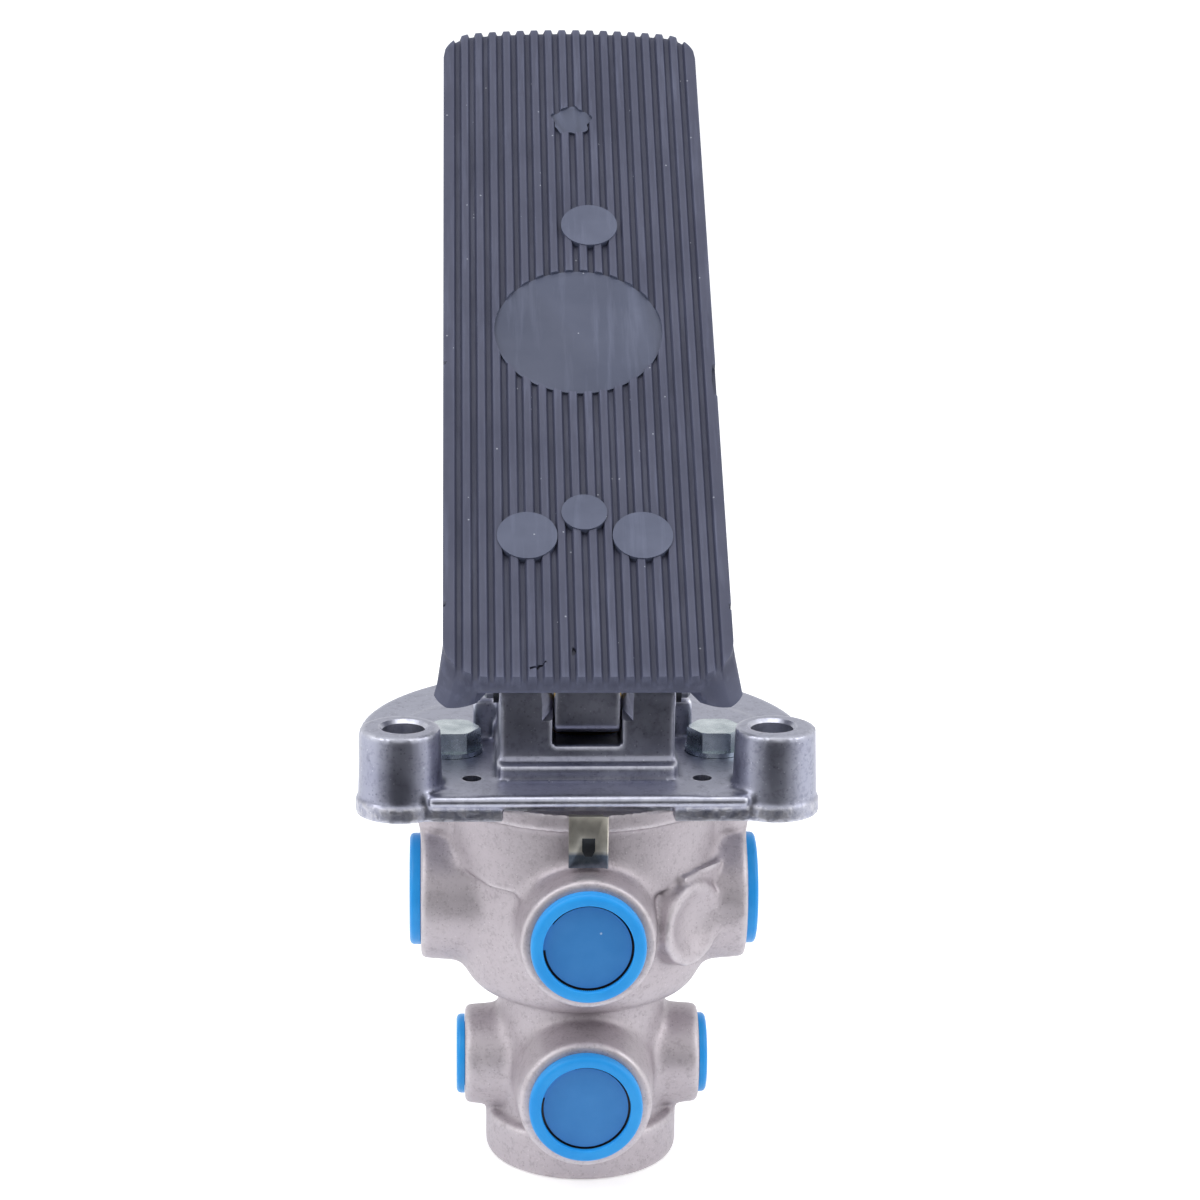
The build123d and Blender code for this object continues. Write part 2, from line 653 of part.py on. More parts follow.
def make_flange_bolts():
    """Two hexagon bolts, down through the plate into the body's lugs."""
    head_low = PLATE_TOP + WASHER_THICKNESS
    head = extrude(RegularPolygon(BOLT_HEAD_FLATS / 2, 6, major_radius=False), amount=BOLT_HEAD_HEIGHT)
    corner = BOLT_HEAD_FLATS / math.sqrt(3)
    foot = corner + BOLT_HEAD_HEIGHT * BOLT_CROWN_SLOPE
    crown = Cone(foot, corner - BOLT_CROWN, BOLT_HEAD_HEIGHT, align=LOW)
    head = Pos(0, 0, head_low) * (head & crown)
    tip = BOLT_LUG_BOTTOM - BOLT_TIP
    solids = []
    for x, y in bolt_places():
        shank = disc(BOLT_DIAMETER / 2, tip, head_low)
        shank = chamfer(shank.edges().group_by(Axis.Z)[0], BOLT_DIAMETER / 8)
        solids.append(Pos(x, y, 0) * (head + shank))
    return Compound(solids)


def make_flange_washers():
    """The washers under the two bolt heads."""
    solids = []
    for x, y in bolt_places():
        high = PLATE_TOP + WASHER_THICKNESS
        solids.append(ring(WASHER_DIAMETER / 2, BOLT_DIAMETER / 2 + SEAT_GAP, PLATE_TOP, high, x, y))
    return Compound(solids)


def make_spring_clip():
    """The bent strip that is held between the plate and the flange at the front."""
    half = CLIP_WIDTH / 2
    front = -FLANGE_RADIUS - CLIP_THICKNESS - RUNNING_FIT
    bottom = RECESS_DEPTH - CLIP_DROP
    strip = block(-half, half, front, front + CLIP_THICKNESS, bottom, RECESS_DEPTH)
    leg_low = RECESS_DEPTH - CLIP_THICKNESS
    strip += block(-half, half, front, -FLANGE_RADIUS + CLIP_LEG - SEAT_GAP, leg_low, RECESS_DEPTH)
    half_slot = CLIP_SLOT_WIDTH / 2
    slot_low = CLIP_SLOT_TOP - CLIP_SLOT_HEIGHT
    slot_back = front + CLIP_THICKNESS + OVERRUN
    return strip - block(-half_slot, half_slot, front - OVERRUN, slot_back, slot_low, CLIP_SLOT_TOP)


def make_plunger_bush():
    """The bush that guides the plunger, with a collar on the floor of the well."""
    bore = PLUNGER_STEM / 2 + RUNNING_FIT
    sleeve = ring(BUSH_DIAMETER / 2, bore, CHAMBER_TOP, WELL_FLOOR + BUSH_COLLAR_HEIGHT)
    return sleeve + ring(BUSH_COLLAR / 2, bore, WELL_FLOOR, WELL_FLOOR + BUSH_COLLAR_HEIGHT)


def pin_groove_x():
    """Where the hinge pin's retaining rings sit, just outside the tower."""
    return TOWER_WIDTH / 2 + SEAT_GAP


def make_hinge_pin():
    """The pin through the tower and the treadle's lug."""
    pin = across(HINGE_PIN / 2, TOWER_WIDTH / 2 + HINGE_PIN_END, HINGE_Y, HINGE_Z)
    pin = chamfer(pin.edges().filter_by(GeomType.CIRCLE), HINGE_PIN / 12)
    neck = HINGE_PIN / 2 - CIRCLIP_BITE / 2
    for side in (-1, 1):
        middle = side * (pin_groove_x() + CIRCLIP_THICKNESS / 2)
        cutter = Cylinder(HINGE_PIN, CIRCLIP_THICKNESS) - Cylinder(neck, CIRCLIP_THICKNESS)
        pin -= Pos(middle, HINGE_Y, HINGE_Z) * Rot(0, 90, 0) * cutter
    return pin


def shaft_clip(shaft, x, y, z):
    """An open retaining ring on a shaft along X."""
    inner = shaft / 2 - CIRCLIP_BITE / 2 + FIXED_FIT
    outer = shaft / 2 + CIRCLIP_BITE
    whole = Cylinder(outer, CIRCLIP_THICKNESS) - Cylinder(inner, 2 * CIRCLIP_THICKNESS)
    mouth = Pos(-outer, 0, 0) * Box(2 * outer, SHAFT_CLIP_MOUTH, 2 * CIRCLIP_THICKNESS)
    return Pos(x, y, z) * Rot(0, 90, 0) * (whole - mouth)


def make_hinge_circlips():
    """The retaining rings at the two ends of the hinge pin."""
    middle = pin_groove_x() + CIRCLIP_THICKNESS / 2
    return Compound([shaft_clip(HINGE_PIN, side * middle, HINGE_Y, HINGE_Z) for side in (-1, 1)])


def lug_half_width():
    """Half the width of the treadle's lug, which runs in the tower's channel."""
    return CHANNEL_WIDTH / 2 - LUG_SIDE_GAP


def bush_outer():
    """The outer radius of the bush pressed into the treadle's lug."""
    return HINGE_PIN / 2 + RUNNING_FIT + HINGE_BUSH_WALL


def make_hinge_bush():
    """The plain bearing between the treadle's lug and the hinge pin."""
    sleeve = across(bush_outer(), lug_half_width(), HINGE_Y, HINGE_Z)
    return sleeve - across(HINGE_PIN / 2 + RUNNING_FIT, CHANNEL_WIDTH, HINGE_Y, HINGE_Z)


def pad_outline(inset):
    """The pad seen square on, in the treadle's plane, with a crowned toe edge."""
    half = PAD_WIDTH / 2 - inset
    heel = inset - HEEL_LENGTH
    toe = PAD_LENGTH - HEEL_LENGTH - inset
    shoulder = toe - TOE_CROWN
    edges = [
        Line((-half, heel), (half, heel)),
        Line((half, heel), (half, shoulder)),
        ThreePointArc((half, shoulder), (0, toe), (-half, shoulder)),
        Line((-half, shoulder), (-half, heel)),
    ]
    face = make_face(edges)
    corners = face.vertices().group_by(Axis.Y)
    face = fillet(corners[-1], TOE_CORNER - inset / 2)
    corners = face.vertices().group_by(Axis.Y)
    return fillet(corners[0], HEEL_CORNER - inset / 2)


def slab(outline, low, high):
    """A layer of the treadle between two heights above the hinge axis."""
    return Pos(0, 0, low) * extrude(outline, amount=high - low)


def pad_spots(pad):
    """The pad with its round spots, each a flat disc sunk into the face or just proud of it."""
    for x, from_heel, diameter, proud in PAD_SPOTS:
        low = PAD_HEIGHT - PAD_THICKNESS / 2
        high = PAD_HEIGHT + DISC_PROUD if proud else PAD_HEIGHT - DISC_SUNK
        spot = disc(diameter / 2, low, high, x, from_heel - HEEL_LENGTH)
        above = disc(diameter / 2, high, PAD_HEIGHT + OVERRUN, x, from_heel - HEEL_LENGTH)
        pad = pad + spot - above
    return pad


def make_rubber_pad():
    """The rubber cover, which is stretched over the treadle's edge."""
    plate_low = TREADLE_UNDERSIDE - RUNNING_FIT
    skirt_low = plate_low - PAD_LIP_THICKNESS
    pad = slab(pad_outline(0), skirt_low, PAD_HEIGHT)
    lobes = slab(pad_outline(-LOBE_PROUD), skirt_low, skirt_low + LOBE_HEIGHT)
    half_open = HEEL_OPENING / 2
    heel = -HEEL_LENGTH
    lobes &= block(-PAD_WIDTH, PAD_WIDTH, heel - OVERRUN, heel + LOBE_LENGTH, skirt_low - OVERRUN, PAD_HEIGHT)
    pad += lobes
    pad -= slab(pad_outline(SKIRT_WALL), plate_low, PAD_HEIGHT - PAD_THICKNESS)
    pad -= slab(pad_outline(SKIRT_WALL + PAD_LIP), skirt_low - OVERRUN, plate_low + OVERRUN)
    ceiling = PAD_HEIGHT - PAD_THICKNESS
    slant = [(heel, PAD_HEIGHT), (heel + HEEL_DRAFT, PAD_HEIGHT), (heel, ceiling + HEEL_EDGE)]
    pad -= side_plate(slant, PAD_WIDTH / 2)
    pad -= block(-half_open, half_open, heel - OVERRUN, heel + LOBE_LENGTH, skirt_low - OVERRUN, ceiling)
    return TREADLE * pad_spots(pad)


def treadle_arm():
    """The lug that turns on the hinge pin and the arms that hold the roller, seen from the side."""
    y0, z0 = HINGE_Y, HINGE_Z
    slope = math.tan(TILT)
    lift = (TREADLE_UNDERSIDE + TREADLE_THICKNESS / 2) / math.cos(TILT)
    eye = ROLLER_EYE / 2
    back = ROLLER_Y + eye
    front = y0 - LUG_FRONT
    points = [
        (front, z0 + lift - LUG_FRONT * slope),
        (front, z0 - LUG_DROP + LUG_FRONT / 2),
        (front + LUG_FRONT / 2, z0 - LUG_DROP),
        (y0 + LUG_BACK - LUG_LEAN, z0 - LUG_DROP),
        (y0 + LUG_BACK, ROLLER_Z - eye),
        (ROLLER_Y, ROLLER_Z - eye),
        (back, ROLLER_Z),
        (back, z0 + lift + (back - y0) * slope),
    ]
    arm = side_plate(points, lug_half_width())
    return arm + across(eye, lug_half_width(), ROLLER_Y, ROLLER_Z)


def treadle_ribs():
    """The stiffening ribs under the treadle."""
    low = TREADLE_UNDERSIDE - TREADLE_RIB_DEPTH
    high = TREADLE_UNDERSIDE + TREADLE_THICKNESS / 2
    half = TREADLE_RIB / 2
    inner = TREADLE_RIB_SPACING / 2
    shape = None
    for x in (-inner, inner):
        rib = block(x - half, x + half, TREADLE_RIB_START, TREADLE_RIB_END, low, high)
        shape = rib if shape is None else shape + rib
    step = (TREADLE_RIB_END - TREADLE_RIB_START - TREADLE_RIB) / (CROSS_RIBS - 1)
    for number in range(CROSS_RIBS):
        y = TREADLE_RIB_START + number * step
        shape += block(-inner, inner, y, y + TREADLE_RIB, low, high)
    return shape


def make_treadle_plate():
    """The rigid treadle under the rubber, with its hinge lug, roller arms and ribs."""
    ceiling = PAD_HEIGHT - PAD_THICKNESS
    plate = slab(pad_outline(SKIRT_WALL + RUNNING_FIT), TREADLE_UNDERSIDE, ceiling)
    treadle = TREADLE * (plate + treadle_ribs())
    treadle += treadle_arm()
    half = ROLLER_WIDTH / 2 + FREE_GAP
    reach = ROLLER_DIAMETER / 2 + ROLLER_ROOM
    pocket = block(-half, half, ROLLER_Y - reach, ROLLER_Y + PAD_WIDTH, 0, ROLLER_Z + reach)
    treadle -= pocket - TREADLE * block(-half, half, -HEEL_LENGTH, PAD_LENGTH, TREADLE_UNDERSIDE, PAD_HEIGHT)
    treadle -= across(bush_outer() + FIXED_FIT, CHANNEL_WIDTH, HINGE_Y, HINGE_Z)
    treadle -= across(ROLLER_PIN / 2 + FIXED_FIT, CHANNEL_WIDTH, ROLLER_Y, ROLLER_Z)
    return treadle


def make_roller():
    """The steel roller that presses on the plunger."""
    roller = across(ROLLER_DIAMETER / 2, ROLLER_WIDTH / 2, ROLLER_Y, ROLLER_Z)
    roller = chamfer(roller.edges().filter_by(GeomType.CIRCLE), ROLLER_DIAMETER / 24)
    return roller - across(ROLLER_PIN / 2 + RUNNING_FIT, ROLLER_WIDTH, ROLLER_Y, ROLLER_Z)


def make_roller_pin():
    """The pin that carries the roller between the treadle's arms."""
    return across(ROLLER_PIN / 2, lug_half_width() - SEAT_GAP, ROLLER_Y, ROLLER_Z)


def make_plunger():
    """The mushroom-headed plunger that the roller pushes down."""
    stem = disc(PLUNGER_STEM / 2, SEAT_TOP, PLUNGER_TOP)
    head = disc(PLUNGER_CAP / 2, PLUNGER_TOP - PLUNGER_CAP_HEIGHT, PLUNGER_TOP)
    head = fillet(head.edges().group_by(Axis.Z)[-1], PLUNGER_CAP_HEIGHT / 4)
    plunger = stem + head
    hole_top = SEAT_TOP + SEAT_SCREW_GRIP + SEAT_GAP
    return plunger - disc(SEAT_SCREW / 2 + FIXED_FIT, SEAT_TOP - OVERRUN, hole_top)


def make_spring_seat():
    """The dished washer screwed under the plunger, on which the rubber spring bears."""
    seat = disc(SEAT_DIAMETER / 2, SEAT_BOTTOM, SEAT_TOP)
    seat -= disc(SEAT_SCREW / 2 + FIXED_FIT, SEAT_BOTTOM - OVERRUN, SEAT_TOP + OVERRUN)
    return seat


def make_seat_screw():
    """The screw that holds the spring seat to the plunger."""
    head = disc(SEAT_SCREW_HEAD / 2, SEAT_BOTTOM - SEAT_SCREW_HEAD_HEIGHT, SEAT_BOTTOM)
    socket = extrude(RegularPolygon(SEAT_SCREW_HEAD / 4, 6), amount=SEAT_SCREW_HEAD_HEIGHT / 2)
    head -= Pos(0, 0, SEAT_BOTTOM - SEAT_SCREW_HEAD_HEIGHT) * socket
    return head + disc(SEAT_SCREW / 2, SEAT_BOTTOM, SEAT_TOP + SEAT_SCREW_GRIP)


def make_plunger_boot():
    """The rubber bellows between the bush and the plunger's head."""
    low = WELL_FLOOR + BUSH_COLLAR_HEIGHT + RUNNING_FIT
    high = PLUNGER_TOP - PLUNGER_CAP_HEIGHT - RUNNING_FIT
    outer = BOOT_DIAMETER / 2
    inner = PLUNGER_STEM / 2 + BOOT_WALL + SEAT_GAP
    fold = (high - low) / BOOT_FOLDS
    outside = [(inner, low)]
    inside = []
    for number in range(BOOT_FOLDS):
        base = low + number * fold
        outside += [(outer, base + fold / 2), (inner, base + fold)]
        inside += [(outer - BOOT_WALL, base + fold / 2), (inner - BOOT_WALL, base + fold)]
    inside.insert(0, (inner - BOOT_WALL, low))
    return lathe(outside + inside[::-1])


def make_graduating_spring():
    """The rubber spring that gives the pedal its feel, between the seat and the upper piston."""
    outer = RUBBER_SPRING / 2
    inner = RUBBER_SPRING_HOLE / 2
    middle = (SEAT_BOTTOM + PISTON_CROWN) / 2
    points = [
        (inner, PISTON_CROWN),
        (outer, PISTON_CROWN),
        (outer - RUBBER_SPRING_WAIST, middle),
        (outer, SEAT_BOTTOM),
        (inner, SEAT_BOTTOM),
    ]
    return lathe(points)


def make_upper_piston():
    """The cup-shaped piston of the first circuit, with its hollow stem."""
    radius = PISTON_BORE / 2 - RUNNING_FIT
    piston = disc(radius, PISTON_BASE, PISTON_TOP)
    piston -= disc(PISTON_CUP / 2, PISTON_CROWN, PISTON_TOP + OVERRUN)
    piston += disc(PISTON_STEM / 2, PISTON_STEM_END, PISTON_BASE + OVERRUN)
    piston -= disc(PISTON_STEM_BORE / 2, PISTON_STEM_END - OVERRUN, PISTON_BASE - OVERRUN)
    return piston - groove(PISTON_BORE, (PISTON_BASE + PISTON_CROWN) / 2)


def make_upper_return_spring():
    """The spring that lifts the upper piston."""
    return coil(RETURN_SPRING, RETURN_WIRE, UPPER_WEB_TOP, PISTON_BASE)


def hollow_valve(disc_diameter, top, end):
    """A plate valve with a hollow stem, through which the circuit exhausts."""
    valve = disc(disc_diameter / 2, top - VALVE_DISC_THICKNESS, top)
    valve += disc(VALVE_TUBE / 2, end, top - OVERRUN)
    return valve - disc(VALVE_TUBE_BORE / 2, end - OVERRUN, top + OVERRUN)


def make_primary_valve():
    """The inlet and exhaust valve of the first circuit."""
    return hollow_valve(VALVE_DISC, UPPER_VALVE_TOP, UPPER_VALVE_END)


def make_primary_valve_spring():
    """The spring that holds the first circuit's valve up to its seat."""
    return coil(VALVE_SPRING, VALVE_WIRE, SHOULDER_BOTTOM, UPPER_VALVE_TOP - VALVE_DISC_THICKNESS)


def guide_disc(bore, low, high):
    """A round insert that guides a valve's stem, with a groove for its seal."""
    guide = disc(bore / 2 - RUNNING_FIT, low, high)
    guide -= disc(VALVE_TUBE / 2 + RUNNING_FIT, low - OVERRUN, high + OVERRUN)
    return guide - groove(bore, (low + high) / 2)


def make_primary_valve_guide():
    """The insert that closes the first circuit's supply chamber."""
    return guide_disc(RELAY_BORE, UPPER_GUIDE_BOTTOM, SHOULDER_BOTTOM)


def make_relay_piston():
    """The piston that the first circuit's pressure pushes down to work the second circuit."""
    piston = disc(RELAY_BORE / 2 - RUNNING_FIT, RELAY_BASE, RELAY_TOP)
    piston += disc(RELAY_STEM / 2, RELAY_STEM_END, RELAY_BASE + OVERRUN)
    piston -= disc(VALVE_TUBE_BORE / 2, RELAY_STEM_END - OVERRUN, RELAY_TOP + OVERRUN)
    return piston - groove(RELAY_BORE, (RELAY_BASE + RELAY_TOP) / 2)


def make_relay_spring():
    """The spring that lifts the relay piston."""
    return coil(RELAY_SPRING, RELAY_WIRE, LOWER_BORE_TOP, RELAY_BASE)


def make_secondary_seat():
    """The valve seat of the second circuit, against the shoulder of the lower bore."""
    seat = disc(LOWER_BORE / 2 - FIXED_FIT, LOWER_WEB_BOTTOM, LOWER_BORE_TOP)
    return seat - disc(LOWER_WEB_HOLE / 2, LOWER_WEB_BOTTOM - OVERRUN, LOWER_BORE_TOP + OVERRUN)


def make_secondary_valve():
    """The inlet and exhaust valve of the second circuit."""
    return hollow_valve(LOWER_VALVE_DISC, LOWER_VALVE_TOP, LOWER_VALVE_END)


def make_secondary_valve_spring():
    """The spring that holds the second circuit's valve up to its seat."""
    low = LOWER_GUIDE_TOP - LOWER_SPRING_POCKET
    return coil(VALVE_SPRING, VALVE_WIRE, low, LOWER_VALVE_TOP - VALVE_DISC_THICKNESS)


def make_secondary_valve_guide():
    """The lower insert: a guide for the valve's stem and a wall that holds the seat up."""
    guide = guide_disc(LOWER_BORE, LOWER_GUIDE_BOTTOM, LOWER_GUIDE_TOP)
    pocket_low = LOWER_GUIDE_TOP - LOWER_SPRING_POCKET
    guide -= disc(VALVE_SPRING / 2 + SEAT_GAP, pocket_low, LOWER_GUIDE_TOP + OVERRUN)
    outer = LOWER_BORE / 2 - RUNNING_FIT
    wall = ring(outer, outer - LOWER_GUIDE_WALL, LOWER_GUIDE_TOP - OVERRUN, LOWER_WEB_BOTTOM)
    drop = passage_offset(LARGE_THREAD, LOWER_PASSAGE)
    window = passage(FRONT, LOWER_PORT_Z - drop, LOWER_PASSAGE, LOWER_FRONT_FACE)
    return guide + (wall - window)


def make_exhaust_cover():
    """The pierced disc in the mouth of the lower bore."""
    low = EXHAUST_BORE_TOP - EXHAUST_COVER_THICKNESS
    cover = disc(EXHAUST_BORE / 2 - FIXED_FIT, low, EXHAUST_BORE_TOP)
    for number in range(EXHAUST_HOLES):
        angle = math.radians(360 * number / EXHAUST_HOLES)
        reach = EXHAUST_BORE / 4
        x, y = reach * math.cos(angle), reach * math.sin(angle)
        cover -= disc(EXHAUST_HOLE / 2, low - OVERRUN, EXHAUST_BORE_TOP + OVERRUN, x, y)
    return cover


def make_exhaust_flap():
    """The rubber flap that keeps water and dirt out of the exhaust."""
    high = EXHAUST_BORE_TOP - EXHAUST_COVER_THICKNESS
    flap = disc(EXHAUST_BORE / 2 - FREE_GAP - EXHAUST_FLAP_THICKNESS, high - EXHAUST_FLAP_THICKNESS, high)
    return fillet(flap.edges().group_by(Axis.Z)[0], EXHAUST_FLAP_THICKNESS / 2)


def make_port_cap(direction, z, face, large):
    """A push-in dust cap: a round rim with a sunk disc and a short hollow plug."""
    flange = LARGE_CAP if large else SMALL_CAP
    proud = LARGE_CAP_PROUD if large else SMALL_CAP_PROUD
    sunk = LARGE_CAP_DISC if large else SMALL_CAP_DISC
    bore = LARGE_COUNTERBORE if large else SMALL_COUNTERBORE
    plug = bore / 2 - RUNNING_FIT
    rim = Pos(0, 0, CAP_GAP) * Cylinder(flange / 2, proud - CAP_GAP, align=LOW)
    rim = fillet(rim.edges().group_by(Axis.Z)[-1], (flange - sunk) / 6)
    rim -= Pos(0, 0, proud - CAP_RECESS) * Cylinder(sunk / 2, proud, align=LOW)
    tube = Pos(0, 0, -CAP_PLUG_LENGTH) * Cylinder(plug, CAP_PLUG_LENGTH + CAP_GAP, align=LOW)
    hollow = Cylinder(plug - CAP_WALL, CAP_PLUG_LENGTH + OVERRUN, align=LOW)
    hollow = Pos(0, 0, -CAP_PLUG_LENGTH - OVERRUN) * hollow
    return radial(direction, z, face) * (rim + tube - hollow)


def all_parts():
    """Every node by name."""
    parts = {
        "base_plate": make_base_plate(),
        "valve_body": make_valve_body(),
        "body_seal_ring": make_body_seal_ring(),
        "flange_bolts": make_flange_bolts(),
        "flange_washers": make_flange_washers(),
        "spring_clip": make_spring_clip(),
        "plunger_bush": make_plunger_bush(),
        "hinge_pin": make_hinge_pin(),
        "hinge_circlips": make_hinge_circlips(),
        "hinge_bush": make_hinge_bush(),
        "treadle_plate": make_treadle_plate(),
        "rubber_pad": make_rubber_pad(),
        "roller": make_roller(),
        "roller_pin": make_roller_pin(),
        "plunger": make_plunger(),
        "spring_seat": make_spring_seat(),
        "seat_screw": make_seat_screw(),
        "plunger_boot": make_plunger_boot(),
        "graduating_spring": make_graduating_spring(),
        "upper_piston": make_upper_piston(),
        "upper_piston_seal": seal(PISTON_BORE, (PISTON_BASE + PISTON_CROWN) / 2),
        "upper_return_spring": make_upper_return_spring(),
        "primary_valve": make_primary_valve(),
        "primary_valve_spring": make_primary_valve_spring(),
        "primary_valve_guide": make_primary_valve_guide(),
        "primary_guide_seal": seal(RELAY_BORE, (UPPER_GUIDE_BOTTOM + SHOULDER_BOTTOM) / 2),
        "primary_guide_circlip": circlip(RELAY_BORE, UPPER_GUIDE_BOTTOM),
        "relay_piston": make_relay_piston(),
        "relay_piston_seal": seal(RELAY_BORE, (RELAY_BASE + RELAY_TOP) / 2),
        "relay_spring": make_relay_spring(),
        "secondary_seat": make_secondary_seat(),
        "secondary_valve": make_secondary_valve(),
        "secondary_valve_spring": make_secondary_valve_spring(),
        "secondary_valve_guide": make_secondary_valve_guide(),
        "secondary_guide_seal": seal(LOWER_BORE, (LOWER_GUIDE_BOTTOM + LOWER_GUIDE_TOP) / 2),
        "secondary_guide_circlip": circlip(LOWER_BORE, LOWER_GUIDE_BOTTOM),
        "exhaust_cover": make_exhaust_cover(),
        "exhaust_flap": make_exhaust_flap(),
    }
    for name, direction, z, face, radius, large in port_list():
        parts["cap_" + name] = make_port_cap(direction, z, face, large)
    return parts


def main():
    """Write one STEP file for each node."""
    os.makedirs("parts", exist_ok=True)
    for name, shape in all_parts().items():
        export_step(shape, "parts/" + name + ".step")
        print(name)


main()
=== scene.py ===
# %% [markdown]
# # Foot brake valve
# A treadle on a cast bracket presses a plunger, which works a dual-circuit air valve below the
# floor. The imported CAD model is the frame: it gives every place, and it carries the motion. This
# notebook gives each visible surface the shape and finish of the real casting, rubber and steel.
# Castings are drawn as distances and turned into skin, because every inner corner of a casting is
# rounded by the mould. Turned and pressed parts are meshes from their own outlines.

import json
import math
from types import SimpleNamespace

import bmesh
import bpy
import numpy as np
from mathutils import Matrix, Vector


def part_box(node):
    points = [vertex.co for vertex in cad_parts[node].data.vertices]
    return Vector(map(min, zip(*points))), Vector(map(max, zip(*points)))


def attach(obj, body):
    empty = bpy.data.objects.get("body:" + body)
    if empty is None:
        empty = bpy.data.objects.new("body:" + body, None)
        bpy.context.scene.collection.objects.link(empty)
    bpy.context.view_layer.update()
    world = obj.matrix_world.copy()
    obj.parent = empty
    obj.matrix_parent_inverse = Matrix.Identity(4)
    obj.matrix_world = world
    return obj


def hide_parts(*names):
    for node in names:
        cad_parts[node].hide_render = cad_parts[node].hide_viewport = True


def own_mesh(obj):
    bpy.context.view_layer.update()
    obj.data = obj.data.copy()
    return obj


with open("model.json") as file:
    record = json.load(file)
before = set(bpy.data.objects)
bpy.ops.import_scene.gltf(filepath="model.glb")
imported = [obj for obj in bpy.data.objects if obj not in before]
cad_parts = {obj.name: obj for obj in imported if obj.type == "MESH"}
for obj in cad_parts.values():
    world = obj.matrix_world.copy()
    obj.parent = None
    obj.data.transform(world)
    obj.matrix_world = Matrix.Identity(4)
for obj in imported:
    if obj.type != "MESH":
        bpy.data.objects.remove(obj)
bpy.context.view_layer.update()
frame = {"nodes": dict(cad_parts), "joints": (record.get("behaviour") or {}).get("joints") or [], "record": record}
joints = {joint["name"]: joint for joint in frame["joints"]}
mounts = {mount["name"]: mount for mount in frame["record"]["mounts"]}

# %% [markdown]
# ## Driving sizes
# The frame is in metres and a drawing of this valve is in millimetres, so the sizes below are in
# millimetres and are turned into metres once. Places come from the frame: the boxes of CAD nodes,
# the ports in the record and the hinge's own axis. Only sizes that no box holds are typed.

# %% Places taken from the frame
MM = 0.001


def box_mm(node):
    """The lowest and highest corner of a CAD node in millimetres."""
    low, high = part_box(node)
    return np.array(low) / MM, np.array(high) / MM


body_low, body_high = box_mm("valve_body")
plate_low, plate_high = box_mm("base_plate")
HINGE_Y, HINGE_Z = (float(v) / MM for v in joints["treadle_hinge"]["pos_m"][1:])
TILT = math.radians(35.3)
EAR_HOLE = 2 * mounts["mounting_holes"]["dims"]["hole_r_mm"]
EAR_REACH = mounts["mounting_holes"]["dims"]["pcd_mm"] / 2
EAR_OUTWARD = 1.0
BOLTS = [(-35.0, 0.0), (35.0, 0.0)]


def ear_places(reach):
    """Three places evenly spaced round the valve's axis, one of them at the back."""
    turns = [math.radians(90 + 120 * number) for number in range(3)]
    return [(reach * math.cos(turn), reach * math.sin(turn)) for turn in turns]


print("hinge", HINGE_Y, HINGE_Z, "body from", body_low.round(1), "to", body_high.round(1))

# %% [markdown]
# ## Field kit
# A casting could be cut from solids and bevelled edge by edge, but bevels fail where three forms
# meet. Here a form is a number at every point of space: how far the point lies outside it, in
# millimetres. Two forms are joined by the smaller number, and a smooth minimum rounds the corner
# between them as the mould does. Geometry Nodes fills a volume with that number and takes the
# surface where it is zero.

# %% The field kit


